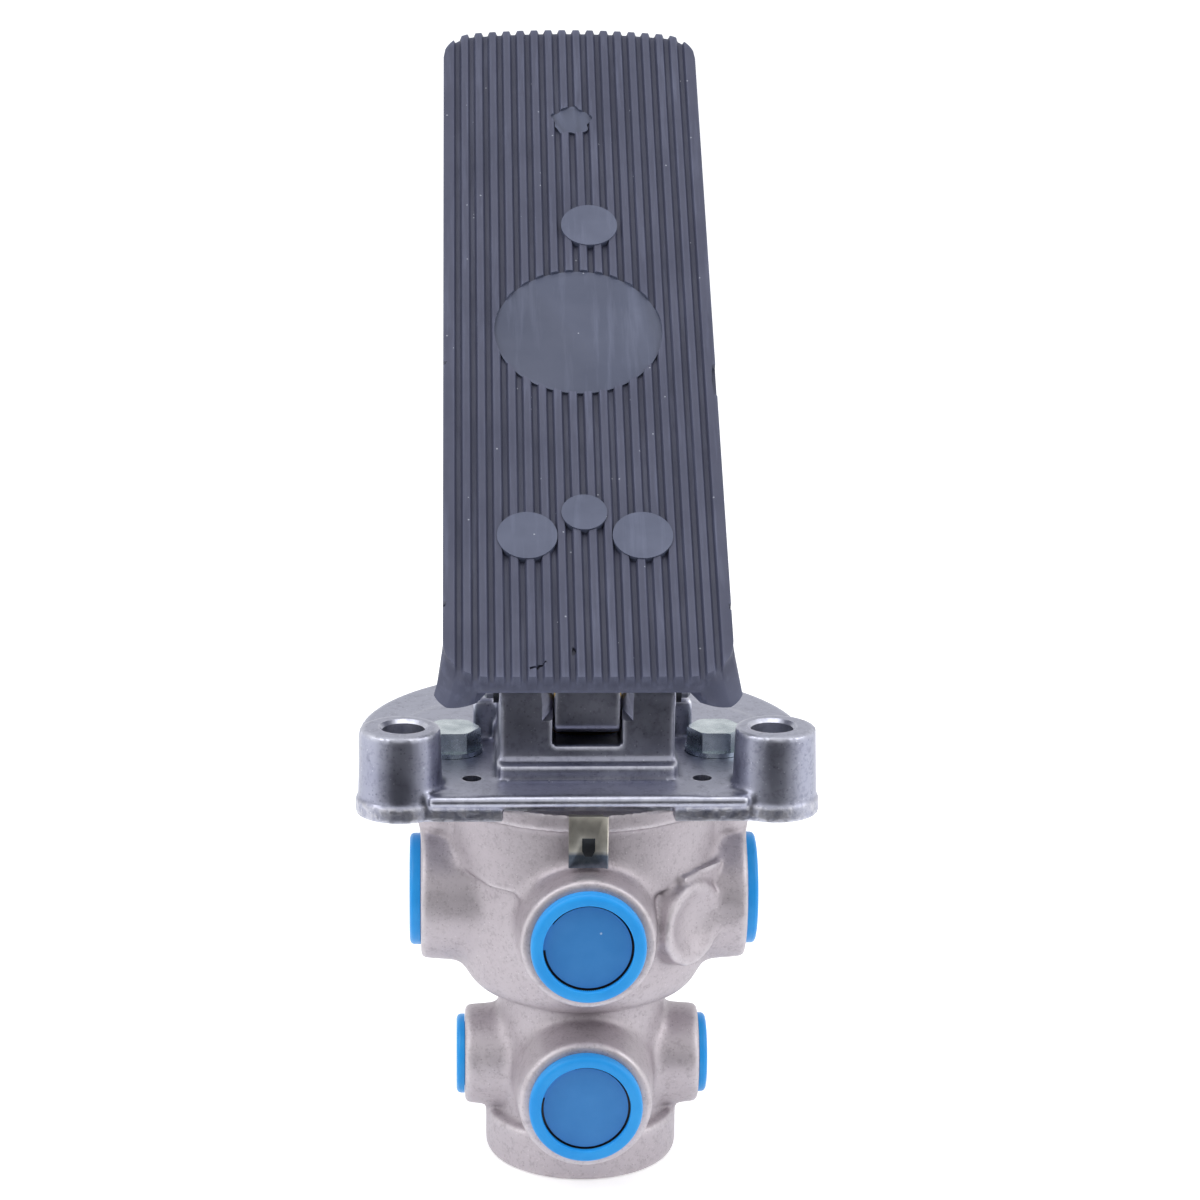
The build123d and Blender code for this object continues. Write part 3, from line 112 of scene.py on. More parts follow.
class Field:
    """A Geometry Nodes tree that holds one form as distances in millimetres."""

    def __init__(self, name, **sizes):
        self.tree = bpy.data.node_groups.new(name, "GeometryNodeTree")
        self.tree.is_modifier = True
        face = self.tree.interface
        face.new_socket("Geometry", in_out="OUTPUT", socket_type="NodeSocketGeometry")
        face.new_socket("Geometry", in_out="INPUT", socket_type="NodeSocketGeometry")
        self.sizes = {}
        for label, value in sizes.items():
            item = face.new_socket(label, in_out="INPUT", socket_type="NodeSocketFloat")
            item.default_value = value
            self.sizes[item.identifier] = value
        self.inlet = self.tree.nodes.new("NodeGroupInput")
        self.size = SimpleNamespace(**{label: self.inlet.outputs[label] for label in sizes})
        place = self.tree.nodes.new("GeometryNodeInputPosition")
        scale = self.tree.nodes.new("ShaderNodeVectorMath")
        scale.operation = "SCALE"
        scale.inputs["Scale"].default_value = 1 / MM
        split = self.tree.nodes.new("ShaderNodeSeparateXYZ")
        self.tree.links.new(place.outputs[0], scale.inputs[0])
        self.tree.links.new(scale.outputs[0], split.inputs[0])
        self.x, self.y, self.z = split.outputs

    def calc(self, operation, *values):
        """One Math node on sockets or plain numbers."""
        node = self.tree.nodes.new("ShaderNodeMath")
        node.operation = operation
        for socket, value in zip(node.inputs, values):
            if isinstance(value, bpy.types.NodeSocket):
                self.tree.links.new(value, socket)
            else:
                socket.default_value = value
        return node.outputs[0]

    def add(self, a, b):
        return self.calc("ADD", a, b)

    def take(self, a, b):
        return self.calc("SUBTRACT", a, b)

    def times(self, a, b):
        return self.calc("MULTIPLY", a, b)

    def unite(self, a, b, rounding):
        """Two forms as one, with a fillet between them."""
        return self.calc("SMOOTH_MIN", a, b, rounding)

    def within(self, a, b, rounding):
        """Where both forms are, with a rounded edge."""
        return self.calc("SMOOTH_MAX", a, b, rounding)

    def cut(self, a, b, rounding):
        """A form with another taken out of it."""
        return self.calc("SMOOTH_MAX", a, self.times(b, -1), rounding)

    def slab(self, along, low, high):
        """Everything between two heights of one coordinate."""
        middle = self.times(self.add(low, high), 0.5)
        half = self.times(self.take(high, low), 0.5)
        return self.take(self.calc("ABSOLUTE", self.take(along, middle)), half)

    def far(self, a, b):
        """The distance from an axis, from two coordinates across it."""
        square = self.calc("MULTIPLY_ADD", a, a, self.times(b, b))
        return self.calc("SQRT", square)

    def rod(self, a, b, along, radius, low, high, rounding, draft=0.0):
        """A round bar or boss, which draft widens by its share of each millimetre below high."""
        if draft:
            radius = self.calc("MULTIPLY_ADD", self.take(high, along), draft, radius)
        side = self.take(self.far(a, b), radius)
        return self.within(side, self.slab(along, low, high), rounding)

    def block(self, x_range, y_range, z_range, rounding):
        """A box with rounded edges."""
        sides = self.within(self.slab(self.x, *x_range), self.slab(self.y, *y_range), rounding)
        return self.within(sides, self.slab(self.z, *z_range), rounding)

    def slope(self, a, b, point, normal):
        """A half space: a point on its face and the outward direction, both in two coordinates."""
        reach = math.hypot(*normal)
        na, nb = normal[0] / reach, normal[1] / reach
        shifted = self.calc("MULTIPLY_ADD", a, na, self.times(b, nb))
        return self.take(shifted, point[0] * na + point[1] * nb)

    def facets(self, form, a, b, faces, rounding):
        """A form kept inside several half spaces."""
        for point, normal in faces:
            form = self.within(form, self.slope(a, b, point, normal), rounding)
        return form

    def result(self, name, geometry, material, mesh=None):
        """The tree closed with Realize Instances and Set Material, and grown into a plain mesh."""
        links = self.tree.links
        real = self.tree.nodes.new("GeometryNodeRealizeInstances")
        paint = self.tree.nodes.new("GeometryNodeSetMaterial")
        paint.inputs["Material"].default_value = material
        out = self.tree.nodes.new("NodeGroupOutput")
        links.new(geometry, real.inputs[0])
        links.new(real.outputs[0], paint.inputs["Geometry"])
        links.new(paint.outputs[0], out.inputs[0])
        piece = plain_object(name, mesh or bpy.data.meshes.new(name))
        modifier = piece.modifiers.new(self.tree.name, "NODES")
        modifier.node_group = self.tree
        for identifier, value in self.sizes.items():
            modifier[identifier] = value
        settled(piece)
        print(name, len(piece.data.polygons), "faces")
        return piece

    def skin(self, name, field, low, high, voxel, material):
        """The surface of the field between two corners, as a plain mesh object."""
        cube = self.tree.nodes.new("GeometryNodeVolumeCube")
        self.tree.links.new(self.times(field, -1), cube.inputs["Density"])
        cube.inputs["Background"].default_value = -1
        cube.inputs["Min"].default_value = [v * MM for v in low]
        cube.inputs["Max"].default_value = [v * MM for v in high]
        for axis, start, stop in zip("XYZ", low, high):
            cube.inputs["Resolution " + axis].default_value = int((stop - start) / voxel) + 1
        mesh = self.tree.nodes.new("GeometryNodeVolumeToMesh")
        mesh.inputs["Threshold"].default_value = 0.0
        self.tree.links.new(cube.outputs[0], mesh.inputs["Volume"])
        return self.result(name, mesh.outputs[0], material)


def plain_object(name, mesh):
    """An object at the origin that holds a mesh."""
    made = bpy.data.objects.new(name, mesh)
    bpy.context.scene.collection.objects.link(made)
    return made


def settled(piece):
    """The piece with all its modifiers turned into plain mesh."""
    graph = bpy.context.evaluated_depsgraph_get()
    mesh = bpy.data.meshes.new_from_object(piece.evaluated_get(graph))
    piece.modifiers.clear()
    old = piece.data
    piece.data = mesh
    bpy.data.meshes.remove(old)
    mesh.name = piece.name
    return piece


# %% [markdown]
# ## Turned shapes, prisms and machining
# A lathe part is an outline turned about an axis, and a milled pocket is a flat outline pushed
# straight through. Both are plain meshes here. Drilling and milling a casting is a Boolean with
# such a mesh as the tool, which leaves the crisp edge that a cutter leaves in cast metal.

# %% Turned shapes and prisms


def axis_order(axis):
    """Which columns of (a, b, along) points become x, y and z for an axis."""
    return {"z": (0, 1, 2), "x": (2, 0, 1), "y": (1, 2, 0)}[axis[-1]]


def solid(name, points, faces, material):
    """A closed mesh from points in millimetres, with every face turned outwards."""
    mesh = bpy.data.meshes.new(name)
    mesh.from_pydata((np.array(points) * MM).tolist(), [], faces)
    mesh.materials.append(material)
    made = plain_object(name, mesh)
    work = bmesh.new()
    work.from_mesh(mesh)
    bmesh.ops.remove_doubles(work, verts=work.verts, dist=1e-6)
    bmesh.ops.recalc_face_normals(work, faces=work.faces)
    work.to_mesh(mesh)
    work.free()
    return made


def turned(name, outline, material, axis="z", centre=(0, 0, 0), segments=96, turn=None):
    """An outline of (radius, height) points turned about an axis, all round or through a part."""
    start, stop = turn or (0.0, 360.0)
    steps = segments + (turn is not None)
    angles = [math.radians(start + (stop - start) * n / segments) for n in range(steps)]
    verts = [(r * math.cos(a), r * math.sin(a), h) for r, h in outline for a in angles]
    faces = []
    rows = len(outline)
    for row in range(rows):
        for step in range(segments):
            after = (step + 1) % steps
            low, high = row * steps, (row + 1) % rows * steps
            ring = [low + step, low + after, high + after, high + step]
            if outline[row][0] < 1e-6:
                ring = ring[1:]
            if outline[(row + 1) % rows][0] < 1e-6:
                ring = ring[:-1]
            if len(ring) > 2:
                faces.append(ring)
    if turn:
        faces += [[row * steps + end for row in range(rows)] for end in (0, segments)]
    points = np.array(verts)[:, axis_order(axis)]
    if axis.startswith("-"):
        flip = "xyz".index(axis[1])
        points[:, [flip, (flip + 1) % 3]] *= -1
    return solid(name, points + np.array(centre, float), faces, material)


def prism(name, outline, low, high, material, axis="z"):
    """A flat outline pushed straight along an axis; along y its points are x and z."""
    count = len(outline)
    flat = [(a, b, low) for a, b in outline] + [(a, b, high) for a, b in outline]
    faces = [list(range(count)), list(range(count, 2 * count))]
    for n in range(count):
        m = (n + 1) % count
        faces.append([n, m, count + m, count + n])
    order = (0, 2, 1) if axis == "y" else axis_order(axis)
    return solid(name, np.array(flat)[:, order], faces, material)


def drill(diameter, low, high, material, x=0.0, y=0.0):
    """A round cutter on a vertical axis."""
    outline = [(0, low), (diameter / 2, low), (diameter / 2, high), (0, high)]
    return turned("drill", outline, material, "z", (x, y, 0))


def machine(piece, tools, operation="DIFFERENCE"):
    """The piece with each tool taken out of it, or added to it."""
    for tool in tools:
        step = piece.modifiers.new("cut", "BOOLEAN")
        step.operation = operation
        step.solver = "MANIFOLD"
        step.material_mode = "TRANSFER"
        step.object = tool
    settled(piece)
    for tool in tools:
        bpy.data.objects.remove(tool)
    return piece


def crisp(piece, angle=35.0):
    """Smooth shading, broken where machining left an edge."""
    piece.data.shade_smooth()
    piece.data.set_sharp_from_angle(angle=math.radians(angle))
    return piece


def fitted(piece, body, node):
    """The piece rides on its body and stands for its CAD node."""
    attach(piece, body)
    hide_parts(node)
    print(piece.name, "stands for", node)


# %% [markdown]
# ## Shared surface effects
# Cast metal, rubber and plated steel share a few effects, each at its own scale: the grain that
# sand leaves, wear that brightens edges, painted shade that darkens hollows, specks of dust, and
# long scuffs. Each effect is one shader node group, so a finish only says how much of it to use.
# Image textures could do the same, but they need a layout for every piece, and these need none.

# %% The shader kit


def wired(tree, kind, inputs=None, **settings):
    """One node in a tree, with its inputs given as sockets or as values."""
    node = tree.nodes.new(kind)
    for key, value in settings.items():
        setattr(node, key, value)
    for key, value in (inputs or {}).items():
        if isinstance(value, bpy.types.NodeSocket):
            tree.links.new(value, node.inputs[key])
        else:
            node.inputs[key].default_value = value
    return node


def sums(tree, operation, *values):
    """One Math node in a shader tree."""
    return wired(tree, "ShaderNodeMath", dict(enumerate(values)), operation=operation).outputs[0]


def between(tree, value, low, high, start=0.0, stop=1.0):
    """A value read from low to high as a share from start to stop, and held beyond them."""
    span = {"Value": value, "From Min": low, "From Max": high, "To Min": start, "To Max": stop}
    return wired(tree, "ShaderNodeMapRange", span).outputs[0]


def blend(tree, share, first, second):
    """Two colours mixed by a mask."""
    node = wired(tree, "ShaderNodeMix", {0: share, 6: first, 7: second}, data_type="RGBA")
    return node.outputs[2]


def noise(tree, where, scale, detail=3.0, roughness=0.6):
    """A noise value from 0 to 1."""
    facts = {"Vector": where, "Scale": scale, "Detail": detail, "Roughness": roughness}
    return wired(tree, "ShaderNodeTexNoise", facts).outputs[0]


def effect(name, inputs, outputs):
    """An empty shader node group with its named sockets."""
    group = bpy.data.node_groups.new(name, "ShaderNodeTree")
    for label, value in inputs.items():
        kind = "NodeSocketVector" if value is None else "NodeSocketFloat"
        socket = group.interface.new_socket(label, in_out="INPUT", socket_type=kind)
        if value is not None:
            socket.default_value = value
    for label in outputs:
        group.interface.new_socket(label, in_out="OUTPUT", socket_type="NodeSocketFloat")
    return group, group.nodes.new("NodeGroupInput"), group.nodes.new("NodeGroupOutput")


# %% Grain and tone
COARSE_SCALE = 0.31
FINE_SHARE = 0.55
grain_group, inlet, outlet = effect(
    "surface_grain", {"Where": None, "Grain": 1500.0, "Blotch": 60.0}, ("Height", "Tone")
)
where = inlet.outputs["Where"]
fine = noise(grain_group, where, inlet.outputs["Grain"])
coarse_scale = sums(grain_group, "MULTIPLY", inlet.outputs["Grain"], COARSE_SCALE)
coarse = noise(grain_group, where, coarse_scale, 2.0)
coarse_part = sums(grain_group, "MULTIPLY", coarse, 1 - FINE_SHARE)
height = sums(grain_group, "MULTIPLY_ADD", fine, FINE_SHARE, coarse_part)
tone = between(grain_group, noise(grain_group, where, inlet.outputs["Blotch"], 4.0), 0.32, 0.68)
grain_group.links.new(height, outlet.inputs["Height"])
grain_group.links.new(tone, outlet.inputs["Tone"])

# %% Worn edges and painted shade in hollows
wear_and_shade_group, inlet, outlet = effect(
    "edge_wear_and_hollow_shade", {"Where": None, "Start": 0.51, "Full": 0.56, "Patch": 180.0}, ("Edge", "PaintedHollowShade")
)
geometry = wired(wear_and_shade_group, "ShaderNodeNewGeometry")
bend = geometry.outputs["Pointiness"]
uneven = noise(wear_and_shade_group, inlet.outputs["Where"], inlet.outputs["Patch"])
patch = between(wear_and_shade_group, uneven, 0.3, 0.62, 0.25)
edge = between(wear_and_shade_group, bend, inlet.outputs["Start"], inlet.outputs["Full"])
low_start = sums(wear_and_shade_group, "SUBTRACT", 1.0, inlet.outputs["Start"])
low_full = sums(wear_and_shade_group, "SUBTRACT", 1.0, inlet.outputs["Full"])
# Painted shade: places that bend inwards are darkened by their bend, where shade falls.
hollow = between(wear_and_shade_group, bend, low_start, low_full)
wear_and_shade_group.links.new(sums(wear_and_shade_group, "MULTIPLY", edge, patch), outlet.inputs["Edge"])
wear_and_shade_group.links.new(hollow, outlet.inputs["PaintedHollowShade"])

# %% Specks and scuffs
speck_group, inlet, outlet = effect(
    "specks", {"Where": None, "Scale": 400.0, "Size": 0.2, "Share": 0.1}, ("Mask",)
)
facts = {"Vector": inlet.outputs["Where"], "Scale": inlet.outputs["Scale"]}
cells = wired(speck_group, "ShaderNodeTexVoronoi", facts)
near = sums(speck_group, "LESS_THAN", cells.outputs["Distance"], inlet.outputs["Size"])
lot = wired(speck_group, "ShaderNodeSeparateColor", {0: cells.outputs["Color"]}).outputs[0]
picked = sums(speck_group, "LESS_THAN", lot, inlet.outputs["Share"])
speck_group.links.new(sums(speck_group, "MULTIPLY", near, picked), outlet.inputs["Mask"])

scuff_group, inlet, outlet = effect(
    "scuffs", {"Where": None, "Scale": 300.0, "Low": 0.55, "High": 0.7}, ("Mask",)
)
streak = noise(scuff_group, inlet.outputs["Where"], inlet.outputs["Scale"], 5.0)
mask = between(scuff_group, streak, inlet.outputs["Low"], inlet.outputs["High"])
scuff_group.links.new(mask, outlet.inputs["Mask"])
print("effects", [group.name for group in (grain_group, wear_and_shade_group, speck_group, scuff_group)])

# %% [markdown]
# ## Finishes
# Each finish is a Principled shader fed by the effects. Colours are read as they look on screen,
# from 0 to 255, and turned into the linear numbers that a shader takes. The two castings differ:
# the bracket is die cast, so it is bluish, smooth and bright at its edges, and the body is cast in
# sand, so it is warm, pale and grainy.

# %% Finish kit


def seen(red, green, blue):
    """A colour as it looks on screen, in the linear numbers of a shader."""
    parts = [value / 255 for value in (red, green, blue)]
    linear = [v / 12.92 if v < 0.04045 else ((v + 0.055) / 1.055) ** 2.4 for v in parts]
    return (*linear, 1.0)


def new_finish(name, metallic, roughness):
    """An empty material: the material, its tree, its shader and Object coordinates."""
    made = bpy.data.materials.new(name)
    made.use_nodes = True
    tree = made.node_tree
    shader = tree.nodes["Principled BSDF"]
    shader.inputs["Metallic"].default_value = metallic
    shader.inputs["Roughness"].default_value = roughness
    where = wired(tree, "ShaderNodeTexCoord").outputs["Object"]
    return made, tree, shader, where


def use(tree, group, **inputs):
    """A shared effect placed in a material."""
    node = wired(tree, "ShaderNodeGroup", node_tree=group)
    for label, value in inputs.items():
        if isinstance(value, bpy.types.NodeSocket):
            tree.links.new(value, node.inputs[label])
        else:
            node.inputs[label].default_value = value
    return node.outputs


def relief(tree, shader, height, strength, depth):
    """A bump of a real depth in millimetres."""
    facts = {"Height": height, "Strength": strength, "Distance": depth * MM}
    tree.links.new(wired(tree, "ShaderNodeBump", facts).outputs[0], shader.inputs["Normal"])


def layered(tree, colour, *layers):
    """A colour with further colours laid over it, each by a mask and a strength."""
    for mask, strength, over in layers:
        colour = blend(tree, sums(tree, "MULTIPLY", mask, strength), colour, over)
    return colour


def dressed(tree, shader, colour, guide, roughness, height, strength, depth):
    """A shader given its colour, a roughness that follows a guide, and its relief."""
    tree.links.new(colour, shader.inputs["Base Color"])
    tree.links.new(between(tree, guide, 0.0, 1.0, *roughness), shader.inputs["Roughness"])
    relief(tree, shader, height, strength, depth)


# %% Castings


def cast_metal(name, colours, metallic, grain, wear):
    """Cast aluminium: body, pale and dark colours, grain, worn edges, painted glints, painted shade in hollows."""
    body, pale, dark = (seen(*colour) for colour in colours)
    made, tree, shader, where = new_finish(name, metallic, 0.5)
    surface = use(tree, grain_group, Where=where, Grain=grain, Blotch=55.0)
    worn_and_shaded = use(tree, wear_and_shade_group, Where=where, Start=wear[0], Full=wear[1], Patch=260.0)
    pits = use(tree, speck_group, Where=where, Scale=grain * 1.1, Size=0.3, Share=0.14)
    glints = use(tree, speck_group, Where=where, Scale=grain * 1.3, Size=0.26, Share=0.08)
    mottle = between(tree, surface["Height"], 0.36, 0.5, 0.5, 0.0)
    colour = layered(
        tree, body,
        (surface["Tone"], 0.55, blend(tree, 0.45, body, pale)),
        (mottle, 1.0, blend(tree, 0.5, body, dark)),
        # Painted shade darkens the hollows, and the pale glint specks are painted highlights.
        (worn_and_shaded["PaintedHollowShade"], 0.7, dark),
        (pits["Mask"], 0.3, dark),
        (glints["Mask"], 0.4, pale),
        (worn_and_shaded["Edge"], 0.85, pale),
    )
    return made, tree, shader, where, surface, colour


BODY_COLOURS = ((182, 174, 180), (226, 221, 225), (112, 102, 109))
cast_body, tree, shader, where, surface, colour = cast_metal(
    "cast_body", BODY_COLOURS, 0.72, 1300.0, (0.505, 0.57)
)
dressed(tree, shader, colour, surface["Tone"], (0.42, 0.56), surface["Height"], 0.7, 0.2)

# %% The bracket's finish, with the unmachined band at its foot
BAND_TOP = 4.3
BRACKET_COLOURS = ((148, 150, 168), (216, 218, 228), (70, 72, 88))
cast_bracket, tree, shader, where, surface, colour = cast_metal(
    "cast_bracket", BRACKET_COLOURS, 1.0, 1000.0, (0.507, 0.56)
)
height = wired(tree, "ShaderNodeSeparateXYZ", {0: where}).outputs["Z"]
band = between(tree, height, (BAND_TOP + 0.4) * MM, (BAND_TOP - 0.4) * MM)
rough_cast = use(tree, scuff_group, Where=where, Scale=420.0, Low=0.4, High=0.62)
crust = sums(tree, "MULTIPLY", band, rough_cast["Mask"])
colour = layered(tree, colour, (crust, 0.55, seen(206, 205, 210)))
bumps = sums(tree, "MULTIPLY_ADD", crust, 1.6, surface["Height"])
dressed(tree, shader, colour, surface["Tone"], (0.3, 0.44), bumps, 0.35, 0.14)

# %% Turned and plated metals


def plain_metal(name, colour, pale, roughness, grain, strength):
    """A turned, drawn or plated metal with a fine uneven skin."""
    made, tree, shader, where = new_finish(name, 1.0, roughness[1])
    surface = use(tree, grain_group, Where=where, Grain=grain, Blotch=140.0)
    mottled = blend(tree, surface["Tone"], seen(*colour), seen(*pale))
    height = surface["Height"]
    dressed(tree, shader, mottled, height, roughness, height, strength, 0.05)
    return made


METALS = {
    "turned_aluminium": ((176, 176, 180), (206, 206, 210), (0.3, 0.45), 900.0, 0.15),
    "zinc_steel": ((142, 154, 162), (198, 207, 212), (0.18, 0.36), 700.0, 0.3),
    "bare_steel": ((140, 142, 148), (178, 180, 186), (0.25, 0.4), 800.0, 0.12),
    "black_spring_steel": ((46, 47, 50), (70, 72, 76), (0.35, 0.5), 700.0, 0.2),
    "brass": ((176, 148, 92), (205, 180, 122), (0.28, 0.4), 800.0, 0.15),
}
FINISHES = {name: plain_metal(name, *look) for name, look in METALS.items()}
black_spring_steel = FINISHES["black_spring_steel"]
print("metals", list(FINISHES))

# %% The clip's spring steel, with a painted dark reflection on its lower part
clip_low, clip_high = box_mm("spring_clip")
clip_steel, tree, shader, where = new_finish("clip_steel", 1.0, 0.32)
surface = use(tree, grain_group, Where=where, Grain=600.0, Blotch=260.0)
height = wired(tree, "ShaderNodeSeparateXYZ", {0: where}).outputs["Z"]
# Painted reflection: the lower part of the strip is darker and bluer, standing for the dark surroundings it
# mirrors.
painted_low_reflection = between(tree, height, (clip_low[2] + 4.6) * MM, (clip_low[2] + 3.4) * MM)
bright = blend(tree, surface["Tone"], seen(204, 200, 188), seen(232, 228, 216))
reflected_dark = blend(tree, surface["Tone"], seen(92, 102, 116), seen(138, 148, 160))
colour, height = blend(tree, painted_low_reflection, bright, reflected_dark), surface["Height"]
dressed(tree, shader, colour, height, (0.24, 0.4), height, 0.15, 0.05)

# %% [markdown]
# The pad is slate-coloured rubber. Shoes polish its ribs and leave pale scuffs along them, dust
# lies on it as fine white specks, and the round spots are smoother and paler than the ribs. The
# pale lines along the rib crests are partly that polish and partly a painted highlight, and the
# valleys get painted shade. The pattern is turned to lie along the treadle, so the scuffs run the
# way a shoe slides.

# %% Rubber and plastic


def rubber(name, colours, along=None):
    """Moulded rubber: its colour, a pale colour for wear and painted edge highlights, and a dark colour for tone
    and painted shade.
    """
    body, pale, dark = (seen(*colour) for colour in colours)
    made, tree, shader, where = new_finish(name, 0.0, 0.6)
    if along is not None:
        facts = {"Vector": where, "Rotation": (-along, 0.0, 0.0)}
        where = wired(tree, "ShaderNodeMapping", facts).outputs[0]
    surface = use(tree, grain_group, Where=where, Grain=1100.0, Blotch=45.0)
    worn_and_shaded = use(tree, wear_and_shade_group, Where=where, Start=0.512, Full=0.58, Patch=70.0)
    dust = use(tree, speck_group, Where=where, Scale=520.0, Size=0.13, Share=0.045)
    stretched = wired(
        tree, "ShaderNodeVectorMath", {0: where, 1: (1.0, 0.07, 1.0)}, operation="MULTIPLY"
    ).outputs[0]
    scuffs = use(tree, scuff_group, Where=stretched, Scale=420.0, Low=0.52, High=0.74)
    colour = layered(
        tree, body,
        (surface["Tone"], 0.35, blend(tree, 0.5, body, dark)),
        (scuffs["Mask"], 0.4, pale),
        # The pale edge layer is partly wear and partly a painted highlight on the rib crests; the hollow layer is
        # painted shade.
        (worn_and_shaded["Edge"], 0.5, pale),
        (worn_and_shaded["PaintedHollowShade"], 0.5, dark),
        (dust["Mask"], 0.55, seen(190, 194, 205)),
    )
    dressed(tree, shader, colour, surface["Tone"], (0.5, 0.68), surface["Height"], 0.3, 0.08)
    return made


pad_rubber = rubber("pad_rubber", ((67, 70, 92), (106, 111, 136), (36, 38, 52)), TILT)
spot_rubber = rubber("spot_rubber", ((78, 84, 106), (112, 118, 142), (50, 54, 70)), TILT)
black_rubber = rubber("black_rubber", ((38, 38, 40), (62, 62, 66), (22, 22, 24)))


def moulded_plastic(name, body, pale):
    """Glossy moulded plastic with a faint orange peel and a little dust."""
    made, tree, shader, where = new_finish(name, 0.0, 0.34)
    surface = use(tree, grain_group, Where=where, Grain=260.0, Blotch=90.0)
    dust = use(tree, speck_group, Where=where, Scale=330.0, Size=0.1, Share=0.05)
    colour = blend(tree, surface["Tone"], seen(*body), seen(*pale))
    colour = layered(tree, colour, (dust["Mask"], 0.5, seen(200, 220, 240)))
    height = surface["Height"]
    dressed(tree, shader, colour, height, (0.26, 0.42), height, 0.06, 0.1)
    shader.inputs["Specular IOR Level"].default_value = 0.3
    return made


blue_plastic = moulded_plastic("blue_plastic", (34, 154, 236), (48, 165, 242))
# The disc's darker blue is painted shade: the same plastic as the rim, darker because the disc faces the front.
shaded_blue_disc = moulded_plastic("shaded_blue_disc", (50, 124, 192), (60, 133, 200))
black_plastic = moulded_plastic("black_plastic", (34, 34, 36), (46, 46, 48))
OTHERS = (
    cast_body, cast_bracket, clip_steel, pad_rubber, black_rubber, blue_plastic, black_plastic,
)
FINISHES.update({made.name.split(".")[0]: made for made in OTHERS})
print("finishes", list(FINISHES))

# %% [markdown]
# ## Valve body
# The body is one sand casting in aluminium: a barrel for the upper piston, a neck for the relay
# piston, a foot for the exhaust, and a boss round each port. It could be cut from cylinders with
# fillets, but seven bosses and a web meet here, so it is a field. Bosses have draft, which is the
# taper that lets the pattern leave the sand.

# %% Valve body: the barrel, neck, foot and collar
FLANGE_TOP = float(body_high[2])
BODY_BOTTOM = float(body_low[2])
COLLAR_STRETCH = 36.4 / 34.2
COLLAR_FLAT = 24.0
cast = Field(
    "valve_casting",
    flange_radius=37.0,
    flange_low=-3.5,
    lug_radius=10.0,
    lug_low=-12.8,
    collar_radius=34.2,
    collar_low=-22.4,
    collar_rise=0.045,
    barrel_radius=33.0,
    barrel_low=-58.0,
    barrel_round=17.6,
    neck_radius=22.5,
    foot_radius=25.9,
    foot_top=-93.5,
    foot_low=BODY_BOTTOM,
)
s = cast.size
radius = cast.far(cast.x, cast.y)
flange_rim = cast.take(radius, s.flange_radius)
flange = cast.within(flange_rim, cast.slab(cast.z, s.flange_low, 20.0), 1.4)
spread = cast.far(cast.times(cast.x, 1 / COLLAR_STRETCH), cast.y)
beyond = cast.calc("MAXIMUM", cast.take(cast.calc("ABSOLUTE", cast.x), COLLAR_FLAT), 0.0)
rise = cast.times(cast.times(beyond, beyond), s.collar_rise)
collar_end = cast.take(cast.add(s.collar_low, rise), cast.z)
collar = cast.within(cast.take(spread, s.collar_radius), collar_end, 0.9)
barrel_height = cast.slab(cast.z, s.barrel_low, 30.0)
barrel = cast.within(cast.take(radius, s.barrel_radius), barrel_height, s.barrel_round)
neck = cast.within(cast.take(radius, s.neck_radius), cast.slab(cast.z, -100.0, -45.0), 1.0)
foot_height = cast.slab(cast.z, s.foot_low, s.foot_top)
foot = cast.within(cast.take(radius, s.foot_radius), foot_height, 3.2)
form = cast.unite(barrel, neck, 4.0)
form = cast.unite(form, foot, 3.0)
form = cast.unite(form, collar, 1.6)
form = cast.unite(form, flange, 2.4)
for x, y in BOLTS:
    off_x = cast.take(cast.x, x)
    lug = cast.rod(off_x, cast.y, cast.z, s.lug_radius, s.lug_low, 20.0, 4.0, draft=-0.02)
    form = cast.unite(form, lug, 4.0)
print(len(cast.tree.nodes), "nodes for the body's main forms")

# %% Valve body: a boss for each port
PORTS = {
    "upper_front": dict(way=(0, -1), z=-31.7, face=43.5, boss=17.5, large=True, fillet=6.0),
    "upper_left": dict(way=(-1, 0), z=-31.7, face=43.5, boss=18.5, large=True, fillet=5.0),
    "upper_right": dict(way=(1, 0), z=-31.7, face=43.5, boss=18.5, large=True, fillet=5.0),
    "lower_front": dict(way=(0, -1), z=-79.5, face=36.0, boss=17.5, large=True, fillet=4.5),
    "lower_left": dict(way=(-1, 0), z=-79.5, face=31.7, boss=13.25, large=False, fillet=4.5),
    "lower_right": dict(way=(1, 0), z=-79.5, face=31.7, boss=13.25, large=False, fillet=4.5),
}
for port in PORTS.values():
    way_x, way_y = port["way"]
    along = cast.calc("MULTIPLY_ADD", cast.x, way_x, cast.times(cast.y, way_y))
    across = cast.calc("MULTIPLY_ADD", cast.x, -way_y, cast.times(cast.y, way_x))
    up = cast.take(cast.z, port["z"])
    boss = cast.rod(across, up, along, port["boss"], 5.0, port["face"], 2.6, draft=0.07)
    form = cast.unite(form, boss, port["fillet"])

# %% Valve body: the blind boss, its dish and its web
BLIND_TURN = math.radians(47.0)
BLIND_REACH = 38.5
BLIND_ACROSS = 0.9
BLIND_Z = -32.7
DISH_BALL = 16.0
DISH_DEPTH = 2.6
WEB_FACE = 37.0


def turned_axes(field, turn):
    """Coordinates along and across a horizontal direction, turned from the front."""
    ahead_x, ahead_y = math.sin(turn), -math.cos(turn)
    along = field.calc("MULTIPLY_ADD", field.x, ahead_x, field.times(field.y, ahead_y))
    across = field.calc("MULTIPLY_ADD", field.x, -ahead_y, field.times(field.y, ahead_x))
    return along, across


